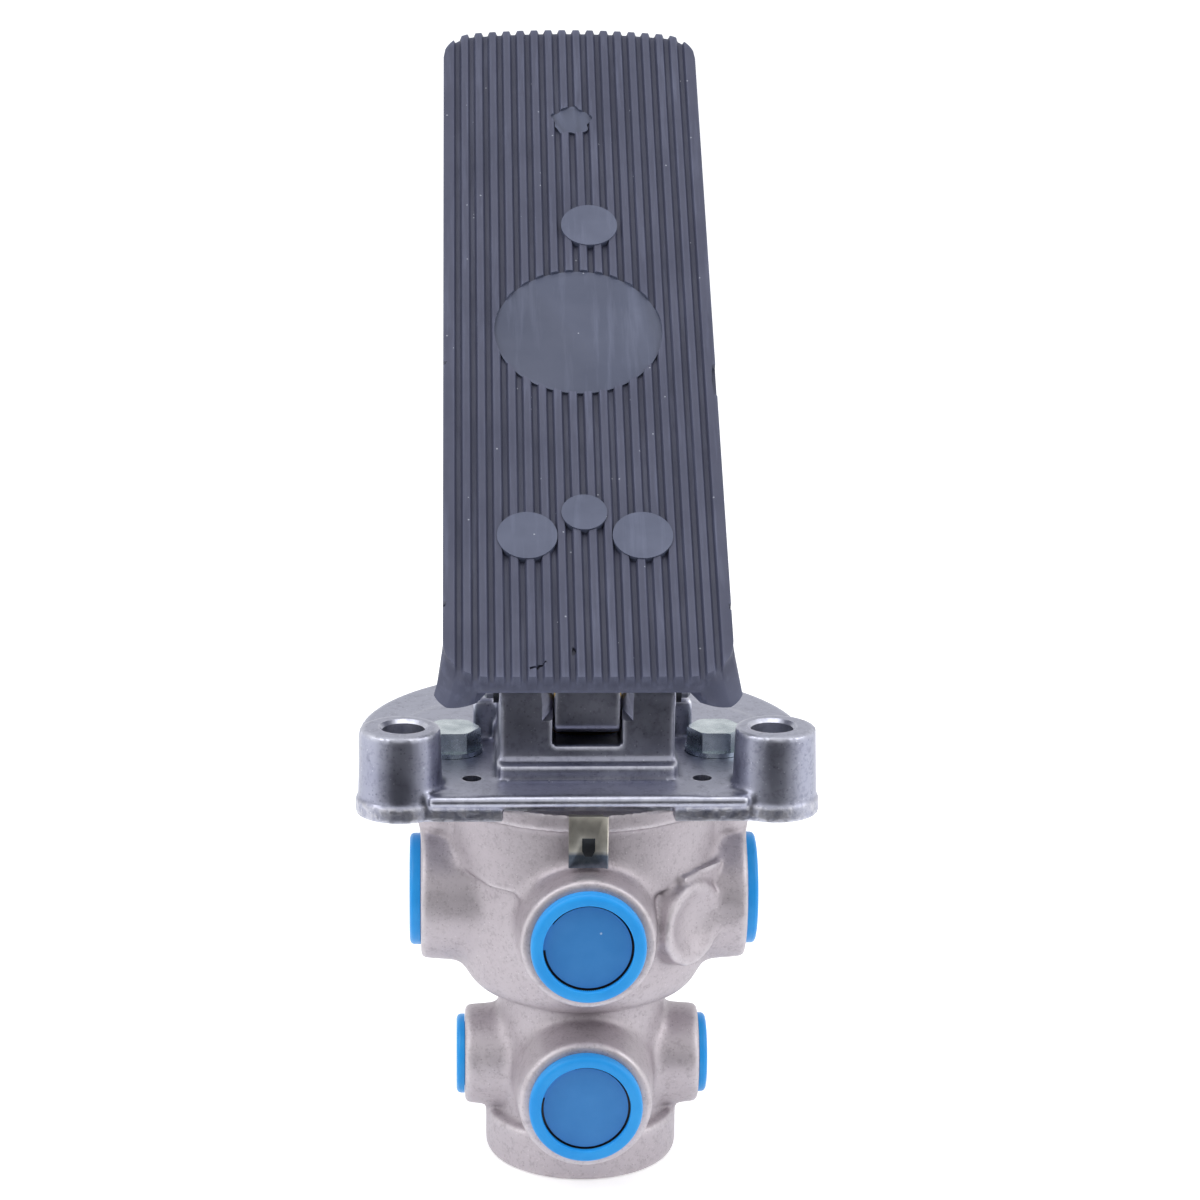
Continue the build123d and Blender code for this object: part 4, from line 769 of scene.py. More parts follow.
along, across = turned_axes(cast, BLIND_TURN)
side = cast.take(across, BLIND_ACROSS)
up = cast.take(cast.z, BLIND_Z)
web = cast.within(cast.slab(along, 20.0, WEB_FACE), cast.take(-2.0, across), 0.8)
web_faces = (((0.0, -19.3), (-0.05, 1.0)), ((14.0, -18.6), (6.7, -4.5)))
web = cast.facets(web, across, cast.z, web_faces, 0.8)
form = cast.unite(form, web, 1.6)
blind = cast.rod(side, up, along, 11.3, 5.0, BLIND_REACH, 1.8, draft=0.09)
form = cast.unite(form, blind, 2.4)
ball = cast.far(cast.far(side, up), cast.take(along, BLIND_REACH + DISH_BALL - DISH_DEPTH))
form = cast.cut(form, cast.take(ball, DISH_BALL), 1.2)
form = cast.calc("MAXIMUM", form, cast.take(cast.z, FLANGE_TOP))
BODY_VOXEL = 0.72
valve_body = cast.skin(
    "valve_body_casting", form, body_low - 1, body_high + 1, BODY_VOXEL, cast_body
)

# %% Valve body: the machining
HEAD, WAIST = FLANGE_TOP + 2, BODY_BOTTOM - 2
exhaust = [(0, WAIST), (20, WAIST), (20, -100.5), (16.5, -100.5)]
lower_ring = [(16.5, -97.8), (17.7, -97.8), (17.7, -96.5), (16.5, -96.5)]
lower_seat = [(16.5, -79), (15, -79)]
middle_ring = [(15, -58.3), (16.2, -58.3), (16.2, -57.0), (15, -57.0)]
middle_seat = [(15, -50), (13.5, -50), (13.5, -48), (20, -48)]
upper_wall = [(20, -34.2), (8.5, -34.2), (8.5, -30.7), (22, -30.7)]
spring_room = [(22, -20), (26, -20), (26, HEAD), (0, HEAD)]
bore = exhaust + lower_ring + lower_seat + middle_ring + middle_seat + upper_wall + spring_room
PORT_HOLES = {True: (10.2, 12.3, 17.0), False: (7.25, 8.7, 15.0)}
MOUTH_DEPTH = 5.0
tools = [turned("bore", bore, cast_body)]


def port_axis(port):
    """The axis that a port faces along, and the middle of its face."""
    way_x, way_y = port["way"]
    axis = {(0, -1): "-y", (-1, 0): "-x", (1, 0): "x"}[port["way"]]
    return axis, (way_x * port["face"], way_y * port["face"], port["z"])


for port in PORTS.values():
    axis, centre = port_axis(port)
    thread, mouth, depth = PORT_HOLES[port["large"]]
    outline = [(0, -depth), (thread, -depth), (thread, -MOUTH_DEPTH)]
    outline += [(mouth, -MOUTH_DEPTH), (mouth, 2), (0, 2)]
    tools.append(turned("port", outline, cast_body, axis, centre))
for x, y in BOLTS:
    tools.append(drill(8.04, -16.0, HEAD, cast_body, x, y))
machine(valve_body, tools)
crisp(valve_body)
fitted(valve_body, "root", "valve_body")

# %% [markdown]
# ## Bracket
# The bracket is die cast: a flat plate with a straight front lip, three tall ears for the mounting
# bolts, and a tower that holds the hinge pin. A cove runs across the foot of the tower, and the
# channel that the treadle's lug swings in is chamfered at its front corners. It is a field too,
# with smaller fillets than the body, because a steel die is sharper than sand.

# %% Bracket: the plate, its lip and its ears
PLATE_TOP = 7.0
PLATE_FRONT = 38.0
PLATE_BACK = 17.0
EAR_TOP = 22.7
bracket = Field(
    "bracket_casting",
    plate_radius=60.5,
    front_radius=56.0,
    plate_top=PLATE_TOP,
    ear_radius=10.35,
    band_radius=11.6,
    ear_top=EAR_TOP,
    drum_radius=31.5,
    drum_top=18.6,
)
s = bracket.size
x, y, z = bracket.x, bracket.y, bracket.z
plate = bracket.rod(x, bracket.take(y, PLATE_BACK), z, s.plate_radius, 0.0, s.plate_top, 1.4)
plate = bracket.unite(plate, bracket.rod(x, y, z, s.front_radius, 0.0, s.plate_top, 1.4), 2.0)
plate = bracket.within(plate, bracket.take(-PLATE_FRONT, y), 1.0)
lip = bracket.block((-41.0, 41.0), (-39.2, -35.3), (4.3, PLATE_TOP), 1.5)
form = bracket.unite(plate, lip, 0.8)
for ear_x, ear_y in ear_places(EAR_REACH + EAR_OUTWARD):
    off_x, off_y = bracket.take(x, ear_x), bracket.take(y, ear_y)
    ear = bracket.rod(off_x, off_y, z, s.ear_radius, 0.0, s.ear_top, 1.3, draft=0.035)
    form = bracket.unite(form, ear, 2.6)
    band = bracket.rod(off_x, off_y, z, s.band_radius, 0.0, BAND_TOP, 1.0)
    form = bracket.unite(form, band, 0.9)

# %% Bracket: the tower, its cove and the drum behind it
TOWER_HALF = 22.8
TOWER_FRONT = 23.5
SKIRT_HALF = 23.3
SKIRT_FRONT = 26.8
SKIRT_TOP = 11.4
tower = bracket.slab(x, -TOWER_HALF, TOWER_HALF)
tower_faces = (
    ((-TOWER_FRONT, 0), (-1, 0)),
    ((-TOWER_FRONT, HINGE_Z), (-0.51, 0.86)),
    ((HINGE_Y, 35.0), (0.2, 1.0)),
    ((-11.1, 33.8), (0.48, 0.87)),
    ((14, 20), (1, 0)),
)
tower = bracket.facets(tower, y, z, tower_faces, 1.8)
CHEEK_RADIUS = 6.2
off_y, off_z = bracket.take(y, HINGE_Y), bracket.take(z, HINGE_Z)
cheek = bracket.rod(off_y, off_z, x, CHEEK_RADIUS, -TOWER_HALF, TOWER_HALF, 1.2)
tower = bracket.unite(tower, cheek, 1.5)
skirt_sides = bracket.slab(x, -SKIRT_HALF, SKIRT_HALF)
skirt = bracket.within(skirt_sides, bracket.take(-SKIRT_FRONT, y), 3.4)
skirt = bracket.within(skirt, bracket.take(y, 14.0), 1.0)
skirt = bracket.within(skirt, bracket.take(z, SKIRT_TOP), 0.9)
tower = bracket.unite(tower, skirt, 3.8)
drum = bracket.rod(x, y, z, s.drum_radius, -10.0, s.drum_top, 2.6)
drum = bracket.within(drum, bracket.take(9.5, y), 2.6)
tower = bracket.unite(tower, drum, 2.6)
tower = bracket.within(tower, bracket.take(0.5, z), 0.5)
form = bracket.unite(form, tower, 2.0)

# %% Bracket: the channel, its chamfered mouth, the well and the slot under the lip
CHANNEL_HALF = 9.0
CHANNEL_FLOOR = 16.0
CHANNEL_END = 24.0
SLOT_HALF = 22.0
SLOT_DEPTH = 5.0
NOTCH_HALF = 11.85
NOTCH_FLOOR = 22.8
NOTCH_TAPER = 0.95
NOTCH_RISE = 0.9
NOTCH_CLEAR = 1.2
NOTCH_DEPTH = 3.0
NOTCH_TOP = 37.0
channel_sides = bracket.slab(x, -CHANNEL_HALF, CHANNEL_HALF)
channel = bracket.within(channel_sides, bracket.take(CHANNEL_FLOOR, z), 1.2)
channel = bracket.within(channel, bracket.take(y, CHANNEL_END), 1.2)
form = bracket.cut(form, channel, 0.6)
form = bracket.cut(form, bracket.rod(x, y, z, 13.5, 13.0, 60.0, 1.0), 0.8)
slot_ranges = ((-SLOT_HALF, SLOT_HALF), (-60.0, SLOT_DEPTH - PLATE_FRONT), (-8.0, 4.0))
form = bracket.cut(form, bracket.block(*slot_ranges, 1.4), 0.4)
form = bracket.calc("MAXIMUM", form, bracket.times(z, -1))
PLATE_VOXEL = 0.68
base_plate = bracket.skin(
    "base_plate_casting", form, plate_low - 1, plate_high + 1, PLATE_VOXEL, cast_bracket
)

# %% Bracket: the machining
GAUGE_REACH = 30.0
recess = Field("recess_cutter")
x, y, z = recess.x, recess.y, recess.z
hollow = recess.take(recess.far(x, y), 37.3)
for bolt_x, _ in BOLTS:
    round_bolt = recess.take(recess.far(recess.take(x, bolt_x), y), 10.3)
    hollow = recess.calc("MINIMUM", hollow, round_bolt)
slot = recess.calc("MAXIMUM", recess.slab(x, -SLOT_HALF, SLOT_HALF), recess.slab(y, -70.0, -18.0))
hollow = recess.calc("MAXIMUM", recess.calc("MINIMUM", hollow, slot), recess.slab(z, -3.0, 1.5))
tools = [recess.skin("recess_cutter", hollow, (-47, -72, -4), (47, 39, 3), 0.5, cast_bracket)]
tools += [drill(30.0, -2, 8.0, cast_bracket), drill(16.04, -2, 14.0, cast_bracket)]
ear_bore = EAR_HOLE / 2
mouth_top = EAR_TOP + 1.0
mouth = [(0, -2), (ear_bore, -2), (ear_bore, EAR_TOP - 0.9)]
mouth += [(ear_bore + 1.9, mouth_top), (0, mouth_top)]
for x, y in ear_places(EAR_REACH):
    tools.append(turned("ear_drill", mouth, cast_bracket, "z", (x, y, 0)))
for x, y in BOLTS:
    tools.append(drill(8.6, -2, PLATE_TOP + 1, cast_bracket, x, y))
    tools.append(drill(16.6, PLATE_TOP, EAR_TOP + 1, cast_bracket, x, y))
for x in (-GAUGE_REACH, GAUGE_REACH):
    tools.append(drill(5.0, PLATE_TOP - 4.0, PLATE_TOP + 1, cast_bracket, x, -24.0))
corners = []
for ahead in (NOTCH_CLEAR, -NOTCH_DEPTH):
    half, low = NOTCH_HALF + NOTCH_TAPER * ahead, NOTCH_FLOOR - NOTCH_RISE * ahead
    y = -TOWER_FRONT - ahead
    corners += [(-half, y, low), (half, y, low), (half, y, NOTCH_TOP), (-half, y, NOTCH_TOP)]
sides = [(n, (n + 1) % 4, (n + 1) % 4 + 4, n + 4) for n in range(4)]
tools.append(solid("notch", corners, [(0, 1, 2, 3), (4, 5, 6, 7)] + sides, cast_bracket))
pin_hole = [(0, -30), (4.02, -30), (4.02, 30), (0, 30)]
tools.append(turned("pin_hole", pin_hole, cast_bracket, "x", (0, HINGE_Y, HINGE_Z)))
machine(base_plate, tools)
crisp(base_plate)
fitted(base_plate, "root", "base_plate")

# %% [markdown]
# ## Treadle
# Under the rubber is a cast plate with a lattice of ribs, a lug that turns on the hinge pin, and
# two arms that hold the roller. Only its edges and underside show. It leans with the pad, so its
# plate and ribs use coordinates up the slope and out of it, and the lug uses upright ones.

# %% Treadle: the plate and its ribs
PAD_LENGTH = 248.0
PAD_WIDTH = 75.0
HEEL_LENGTH = 11.2
UNDERSIDE = 7.1
CEILING = 10.1
treadle = Field("treadle_casting")
x, y, z = treadle.x, treadle.y, treadle.z
off_y, off_z = treadle.take(y, HINGE_Y), treadle.take(z, HINGE_Z)
cos_tilt, sin_tilt = math.cos(TILT), math.sin(TILT)
up_slope = treadle.calc("MULTIPLY_ADD", off_y, cos_tilt, treadle.times(off_z, sin_tilt))
out = treadle.calc("MULTIPLY_ADD", off_y, -sin_tilt, treadle.times(off_z, cos_tilt))
sheet = treadle.within(treadle.slab(x, -34.4, 34.4), treadle.slab(up_slope, -8.1, 231.0), 14.0)
sheet = treadle.within(sheet, treadle.slab(out, UNDERSIDE, CEILING), 0.6)
RIB_START, RIB_END, RIB_WIDTH, CROSS_RIBS = 32.0, 222.0, 4.0, 4
RIB_REACH = 15.0
RIB_ROUND = 1.6
RIB_STEP = (RIB_END - RIB_START - RIB_WIDTH) / (CROSS_RIBS - 1)
half = RIB_WIDTH / 2
rib_ranges = [((at - half, at + half), (RIB_START, RIB_END)) for at in (-RIB_REACH, RIB_REACH)]
starts = [RIB_START + number * RIB_STEP for number in range(CROSS_RIBS)]
rib_ranges += [((-RIB_REACH, RIB_REACH), (low, low + RIB_WIDTH)) for low in starts]
ribs = None
for across, along in rib_ranges:
    rib = treadle.within(treadle.slab(x, *across), treadle.slab(up_slope, *along), RIB_ROUND)
    ribs = treadle.unite(ribs, rib, RIB_ROUND) if ribs else rib
ribs = treadle.within(ribs, treadle.slab(out, 0.1, 8.6), RIB_ROUND)
form = treadle.unite(sheet, ribs, 1.8)

# %% Treadle: the lug and the roller arms
roller_low, roller_high = box_mm("roller")
ROLLER_Y = float(roller_low[1] + roller_high[1]) / 2
ROLLER_Z = float(roller_low[2] + roller_high[2]) / 2
ARM_HALF = 8.7
lift = (HINGE_Y, HINGE_Z + (UNDERSIDE + 1.5) / math.cos(TILT))
under_plate = (lift, (-math.sin(TILT), math.cos(TILT)))
lug_faces = (
    ((-22.5, 0), (-1, 0)),
    ((-19.9, 18.5), (-0.6, -0.8)),
    ((0, 18.5), (0, -1)),
    ((-12.3, 22.0), (0.85, -0.5)),
    ((5.0, ROLLER_Z), (1, 0)),
    under_plate,
)
arm_faces = (((0, ROLLER_Z - 5.0), (0, -1)), ((-18.0, 0), (-1, 0)), ((5.0, 0), (1, 0)), under_plate)
lug = treadle.facets(treadle.slab(x, -ARM_HALF, ARM_HALF), y, z, lug_faces, 1.0)
arms = treadle.facets(treadle.slab(x, -ARM_HALF, ARM_HALF), y, z, arm_faces, 1.4)
form = treadle.unite(form, treadle.unite(lug, arms, 1.6), 1.8)
pocket = treadle.within(treadle.slab(x, -4.9, 4.9), treadle.slab(y, -7.0, 70.0), 0.4)
pocket = treadle.within(pocket, treadle.take(z, ROLLER_Z + 7.0), 0.4)
pocket = treadle.within(pocket, treadle.take(out, UNDERSIDE), 0.4)
form = treadle.cut(form, pocket, 0.4)
treadle_low, treadle_high = box_mm("treadle_plate")
TREADLE_VOXEL = 0.8
treadle_plate = treadle.skin(
    "treadle_casting", form, treadle_low - 1, treadle_high + 1, TREADLE_VOXEL, cast_bracket
)
lug_bore = [(0, -12), (5.07, -12), (5.07, 12), (0, 12)]
roller_bore = [(0, -12), (2.52, -12), (2.52, 12), (0, 12)]
tools = [
    turned("lug_bore", lug_bore, cast_bracket, "x", (0, HINGE_Y, HINGE_Z)),
    turned("roller_bore", roller_bore, cast_bracket, "x", (0, ROLLER_Y, ROLLER_Z)),
]
machine(treadle_plate, tools)
crisp(treadle_plate)
fitted(treadle_plate, "treadle", "treadle_plate")

# %% [markdown]
# ## Rubber pad
# The pad is a moulded rubber cover, stretched over the treadle's edge. Its face has ribs from heel
# to toe and round spots that the mould's pins leave. It is laid out flat: a closed blank is built
# with columns of points where the ribs bend, Geometry Nodes press the valleys into its face,
# Booleans add the spots and take out the nicks of use, and then the whole pad is tilted into place.

# %% Rubber pad: its outline
RIBS = 18
RIB_DEPTH = 1.6
PAD_TOP = 14.6
LIP_LOW = 5.25
WALL, LIP = 3.0, 7.0
HALF_OPEN = 29.0
HEEL_DRAFT = 1.7
FACE_CORNER, FOOT_CORNER, TOE_CORNER = 12.0, 7.0, 9.0
TOE_CROWN = 3.0
LOBE_LENGTH = 17.0
LOBE_FLARE = 2.8


def corner_back(over, corner):
    """How far a rounded corner draws an end back, at a distance past the corner's start."""
    return corner - math.sqrt(max(corner ** 2 - over ** 2, 0.0)) if over > 0 else 0.0


def pad_ends(across, inset=0.0, corner=FACE_CORNER, draft=0.0):
    """Where the pad's outline starts and ends, along the treadle, at a distance from its middle."""
    half = PAD_WIDTH / 2 - inset
    x = min(abs(across), half)
    corner, toe_corner = corner - inset / 2, TOE_CORNER - inset / 2
    heel = inset - HEEL_LENGTH + draft + corner_back(x - (half - corner), corner)
    toe = PAD_LENGTH - HEEL_LENGTH - inset - TOE_CROWN * (x / half) ** 2
    return heel, toe - corner_back(x - (half - toe_corner), toe_corner)


# %% Rubber pad: the flat blank
RISE = (0.11, 0.15, 0.19, 0.23, 0.28, 0.34)
PARTS = (0.0, *RISE, 0.5, *(1 - part for part in reversed(RISE)))
PITCH = PAD_WIDTH / RIBS
ROWS = 64
BORDER_DROP = 0.35
columns = [(n + part) * PITCH - PAD_WIDTH / 2 for n in range(RIBS) for part in PARTS]
columns.append(PAD_WIDTH / 2)
even = [n / (ROWS - 1) for n in range(ROWS)]
share = [0.6 * (0.5 - 0.5 * math.cos(math.pi * part)) + 0.4 * part for part in even]
verts, faces = [], []
for x in columns:
    heel, toe = pad_ends(x, draft=HEEL_DRAFT)
    border = abs(x) > PAD_WIDTH / 2 - 1e-6
    for part in share:
        verts.append((x, heel + (toe - heel) * part, PAD_TOP - (BORDER_DROP if border else 0.0)))
count = len(columns)
for column in range(count - 1):
    for row in range(ROWS - 1):
        a = column * ROWS + row
        faces.append([a, a + ROWS, a + ROWS + 1, a + 1])
loop = [c * ROWS for c in range(count)]
loop += [(count - 1) * ROWS + r for r in range(1, ROWS)]
loop += [c * ROWS + ROWS - 1 for c in range(count - 2, -1, -1)]
loop += [r for r in range(ROWS - 2, 0, -1)]
print("face", count, "columns by", ROWS, "rows")

# %% Rubber pad: its walls and the lip that holds it on


def near_heel(spot):
    """How far along the pad from its heel a point of the face's edge lies."""
    return verts[spot][1] + HEEL_LENGTH


def lobe_flare(spot):
    """How far the wall stands out at the two heel corners, where the rubber is stretched."""
    ramp = max(0.0, min(1.0, (LOBE_LENGTH - near_heel(spot)) / 6.0))
    return LOBE_FLARE * ramp * max(0.0, min(1.0, (abs(verts[spot][0]) - HALF_OPEN) / 5.0))


def wall_low(spot, low):
    """How far down the wall comes: not below the treadle's top where the heel is open."""
    opened = near_heel(spot) < LOBE_LENGTH and abs(verts[spot][0]) < HALF_OPEN
    return max(low, CEILING) if opened else low


def wall_ring(inset, low, corner=FACE_CORNER, draft=0.0, flare=0.0):
    """A ring of points below the face's edge, moved in by an inset."""
    start = len(verts)
    for spot in loop:
        x, along, _ = verts[spot]
        outset = flare * lobe_flare(spot) - inset
        shrunk = x * (PAD_WIDTH / 2 + outset) / (PAD_WIDTH / 2)
        heel, toe = pad_ends(x, draft=HEEL_DRAFT)
        heel_in, toe_in = pad_ends(shrunk, -outset, corner, draft)
        part = (along - heel) / (toe - heel)
        verts.append((shrunk, heel_in + (toe_in - heel_in) * part, wall_low(spot, low)))
    return list(range(start, start + len(loop)))


def bridge(outer, inner):
    """Faces between two rings."""
    for n, spot in enumerate(outer):
        m = (n + 1) % len(outer)
        faces.append([outer[m], spot, inner[n], inner[m]])


rings = [
    loop,
    wall_ring(0.0, PAD_TOP - 2.2, FACE_CORNER, 0.7),
    wall_ring(0.0, CEILING + 1.2, FACE_CORNER - 1, 0.0, 0.3),
    wall_ring(0.0, LIP_LOW + 0.5, FOOT_CORNER, 0.0, 1.0),
    wall_ring(0.6, LIP_LOW, FOOT_CORNER, 0.0, 1.0),
    wall_ring(LIP, LIP_LOW),
    wall_ring(LIP, UNDERSIDE - 0.05),
    wall_ring(WALL, UNDERSIDE - 0.05),
    wall_ring(WALL, CEILING),
]
for outer, inner in zip(rings, rings[1:]):
    bridge(outer, inner)
faces.append(rings[-1][::-1])
rubber_pad = solid("rubber_pad_cover", verts, faces, pad_rubber)
print("blank", len(rubber_pad.data.vertices), "points")

# %% Rubber pad: the valleys are pressed
FACE_LEVEL = PAD_TOP - 1.0
press = Field("rib_press", pitch=PITCH, depth=RIB_DEPTH, half_crest=0.2, half_valley=0.37)
s = press.size
part = press.calc("FRACT", press.calc("DIVIDE", press.add(press.x, PAD_WIDTH / 2), s.pitch))
aside = press.calc("ABSOLUTE", press.take(part, 0.5))
curve = press.tree.nodes.new("ShaderNodeMapRange")
curve.interpolation_type = "SMOOTHSTEP"
for label, source in (("Value", aside), ("From Min", s.half_crest), ("From Max", s.half_valley)):
    press.tree.links.new(source, curve.inputs[label])
inner = press.calc("LESS_THAN", press.calc("ABSOLUTE", press.x), (PAD_WIDTH - PITCH) / 2)
face = press.calc("MULTIPLY", inner, press.calc("GREATER_THAN", press.z, FACE_LEVEL))
drop = press.times(press.times(curve.outputs[0], s.depth), press.times(face, -MM))
offset = press.tree.nodes.new("ShaderNodeCombineXYZ")
press.tree.links.new(drop, offset.inputs["Z"])
move = press.tree.nodes.new("GeometryNodeSetPosition")
press.tree.links.new(press.inlet.outputs["Geometry"], move.inputs["Geometry"])
press.tree.links.new(offset.outputs[0], move.inputs["Offset"])
blank = rubber_pad.data
bpy.data.objects.remove(rubber_pad)
rubber_pad = press.result("rubber_pad_cover", move.outputs[0], pad_rubber, blank)

# %% Rubber pad: the spots that the mould's pins leave
SPOTS = (
    dict(x=0.0, heel=124.0, size=46.6, rise=-0.8, ragged=0.0),
    dict(x=0.0, heel=209.0, size=11.0, rise=-0.7, ragged=0.09),
    dict(x=4.0, heel=165.0, size=16.0, rise=0.25, ragged=0.0),
    dict(x=0.0, heel=57.0, size=12.2, rise=0.35, ragged=0.0),
    dict(x=-15.3, heel=49.0, size=16.0, rise=0.3, ragged=0.0),
    dict(x=15.3, heel=49.0, size=16.0, rise=0.3, ragged=0.0),
)


def spot_outline(spot, growth=0.0):
    """A circle on the pad, or a ragged one where the rubber didn't fill the mould."""
    points = []
    for step in range(72):
        turn = 2 * math.pi * step / 72
        wobble = 1 + spot["ragged"] * (math.sin(5 * turn) + 0.6 * math.sin(9 * turn + 1.0))
        reach = (spot["size"] / 2 + growth) * wobble
        along = spot["heel"] - HEEL_LENGTH + reach * math.sin(turn)
        points.append((spot["x"] + reach * math.cos(turn), along))
    return points


discs, above = [], []
for spot in SPOTS:
    level = PAD_TOP + spot["rise"]
    discs.append(prism("spot", spot_outline(spot), CEILING + 1.0, level, spot_rubber))
    if spot["rise"] < 0:
        wider = spot_outline(spot, 0.05)
        above.append(prism("over_spot", wider, level - 0.01, PAD_TOP + 2.0, spot_rubber))
machine(rubber_pad, discs, "UNION")
machine(rubber_pad, above)

# %% Rubber pad: nicks at its edges and a split at the heel
NICKS = (
    ((-38.4, 101.6), (-36.4, 100.6), (-36.9, 99.6), (-38.4, 99.2)),
    ((-38.4, 17.0), (-36.5, 15.4), (-36.9, 13.8), (-38.4, 13.2)),
    ((38.4, 88.0), (36.6, 88.6), (36.2, 94.0), (36.5, 99.6), (38.4, 100.6)),
    ((38.4, 15.6), (36.8, 14.6), (36.9, 12.9), (38.4, 12.4)),
    (
        (-15.2, -7.0), (-13.3, -6.4), (-12.5, -5.1), (-10.9, -4.7),
        (-11.0, -4.2), (-12.9, -4.4), (-13.6, -5.8), (-15.3, -6.3),
    ),
    ((-4.2, -1.4), (-3.2, -1.0), (-3.3, 0.4), (-4.0, 1.6), (-4.3, 0.2)),
)
NICK_DEPTH = 2.3
nicks = [prism("nick", nick, PAD_TOP - NICK_DEPTH, PAD_TOP + 1.0, pad_rubber) for nick in NICKS]
machine(rubber_pad, nicks)
for point in rubber_pad.data.vertices:
    across, along, over = (v / MM for v in point.co)
    y = HINGE_Y + along * math.cos(TILT) - over * math.sin(TILT)
    z = HINGE_Z + along * math.sin(TILT) + over * math.cos(TILT)
    point.co = Vector((across, y, z)) * MM
crisp(rubber_pad, 48.0)
fitted(rubber_pad, "treadle", "rubber_pad")

# %% [markdown]
# ## Port caps
# Each port is closed for transport by a push-in cap of blue plastic: a rounded rim, a sunken disc
# and a collar that grips the mouth. The disc is cut free of the rim nearly all the way round, which
# shows as a dark slit that stops at a bridge. The cap is turned in code as on a lathe, and a
# part-turned ring takes out the slit. The slit's walls take black plastic and the disc a darker
# blue than the rim, both as painted shade.

# %% Port caps
CAP_SIZES = {
    True: dict(rim=15.0, disc=11.8, proud=3.0, grip=12.25),
    False: dict(rim=10.75, disc=8.0, proud=2.3, grip=8.65),
}
SLIT_TURN = {"upper": (183.0, 505.0), "lower": (165.0, 465.0)}
SLIT_WIDTH = 0.65
SLIT_DEPTH = 0.9
DISC_SUNK = 1.6
GRIP_DEPTH = 4.4
GRIP_WALL = 1.2
FRONT_TURN = 90.0


def cap_outline(rim, disc, proud, grip):
    """Half the section of a cap, from the middle of its disc round to its back."""
    floor = proud - DISC_SUNK
    face = [(0, floor), (disc, floor)]
    inner_edge = [(disc, proud - 0.3), (disc + 0.15, proud - 0.08), (disc + 0.4, proud)]
    outer_edge = [(rim - 1.4, proud), (rim - 0.75, proud - 0.14), (rim - 0.25, proud - 0.5)]
    side = [(rim, proud - 1.1), (rim, 0.1), (grip, 0.1)]
    collar_wall = [(grip, -GRIP_DEPTH), (grip - GRIP_WALL, -GRIP_DEPTH), (grip - GRIP_WALL, 0.0)]
    return face + inner_edge + outer_edge + side + collar_wall + [(0, 0.0)]


for name, port in PORTS.items():
    sizes = CAP_SIZES[port["large"]]
    axis, centre = port_axis(port)
    cap = turned("cap_" + name + "_moulding", cap_outline(**sizes), blue_plastic, axis, centre, 144)
    cap.data.materials.append(shaded_blue_disc)
    outer, level = sizes["disc"], sizes["proud"] - DISC_SUNK
    low, high = level - SLIT_DEPTH, level + 0.3
    section = [(outer - SLIT_WIDTH, low), (outer, low), (outer, high), (outer - SLIT_WIDTH, high)]
    turn = [angle + FRONT_TURN for angle in SLIT_TURN[name.split("_")[0]]]
    # The slit's walls and floor take black plastic: painted shade in the narrow cut.
    slit = turned("slit", section, black_plastic, axis, centre, 120, turn)
    machine(cap, [slit])
    # The disc's face takes the darker blue of painted shade.
    middle = Vector(centre) * MM
    way = Vector((*port["way"], 0.0))
    for face in cap.data.polygons:
        apart = face.center - middle
        height = apart.dot(way)
        if abs(height - level * MM) < 1e-5 and face.normal.dot(way) > 0.9:
            face.material_index = cap.data.materials.find("shaded_blue_disc")
    crisp(cap, 40.0)
    fitted(cap, "cap_" + name, "cap_" + name)

# %% [markdown]
# ## Spring clip
# A bent strip of spring steel is held between the bracket and the body at the front. Its lower part
# hangs free with a slot in it, and its right edge is folded forward. It could be a plane with a
# Solidify, but a prism from its plan keeps the fold's true thickness.

# %% Spring clip
CLIP_SHEET = 0.6
CLIP_FOLD = 1.4
SLOT_TOP, SLOT_LOW = -4.4, -9.6
front = float(clip_low[1])
left, right = float(clip_low[0]), float(clip_high[0])
low, high = float(clip_low[2]), float(clip_high[2])
fold = right - CLIP_FOLD
plan = [(left, front), (fold, front), (right - 0.3, front - CLIP_SHEET)]
plan += [(right, front - 0.1), (fold + 0.4, front + CLIP_SHEET), (left, front + CLIP_SHEET)]
clip = prism("spring_clip_strip", plan, low, high, clip_steel)
back = float(clip_high[1])
leg_plan = [(left, front + 0.05), (fold, front + 0.05), (fold, back), (left, back)]
leg = prism("leg", leg_plan, high - CLIP_SHEET, high - 0.02, clip_steel)
machine(clip, [leg], "UNION")
half, foot_half, shoulder = 1.7, 0.9, SLOT_LOW + 1.6
slot = [(-half, SLOT_TOP), (half, SLOT_TOP), (half, shoulder)]
slot += [(foot_half, SLOT_LOW), (-foot_half, SLOT_LOW), (-half, shoulder)]
machine(clip, [prism("slot", slot, front - 2.0, front + 2.0, clip_steel, "y")])
# Painted shade: a black sheet just behind the slot stands for the shadow seen through it.
near, deep, wide = front + CLIP_SHEET - 0.05, front + 0.8, 2.6
shade = [(-wide, near), (wide, near), (wide, deep), (-wide, deep)]
slot_shadow_sheet = prism("slot_shadow_sheet", shade, SLOT_LOW - 0.6, SLOT_TOP + 0.5, black_spring_steel)
clip.data.materials.append(black_spring_steel)
machine(clip, [slot_shadow_sheet], "UNION")
edge = clip.modifiers.new("edge", "BEVEL")
edge.width = 0.12 * MM
edge.segments = 2
edge.limit_method = "ANGLE"
settled(clip)
crisp(clip, 30.0)
fitted(clip, "root", "spring_clip")

# %% [markdown]
# ## Boot, rubber spring and coil springs
# The boot is a rubber bellows between the bush and the plunger's head, and the rubber spring below
# it gives the pedal its feel. Both shorten as the treadle goes down, and so do the four steel
# springs inside the valve. A coil repeats by a rule, so one Geometry Nodes recipe winds all four
# from wire, width and rise.

# %% Boot and rubber spring


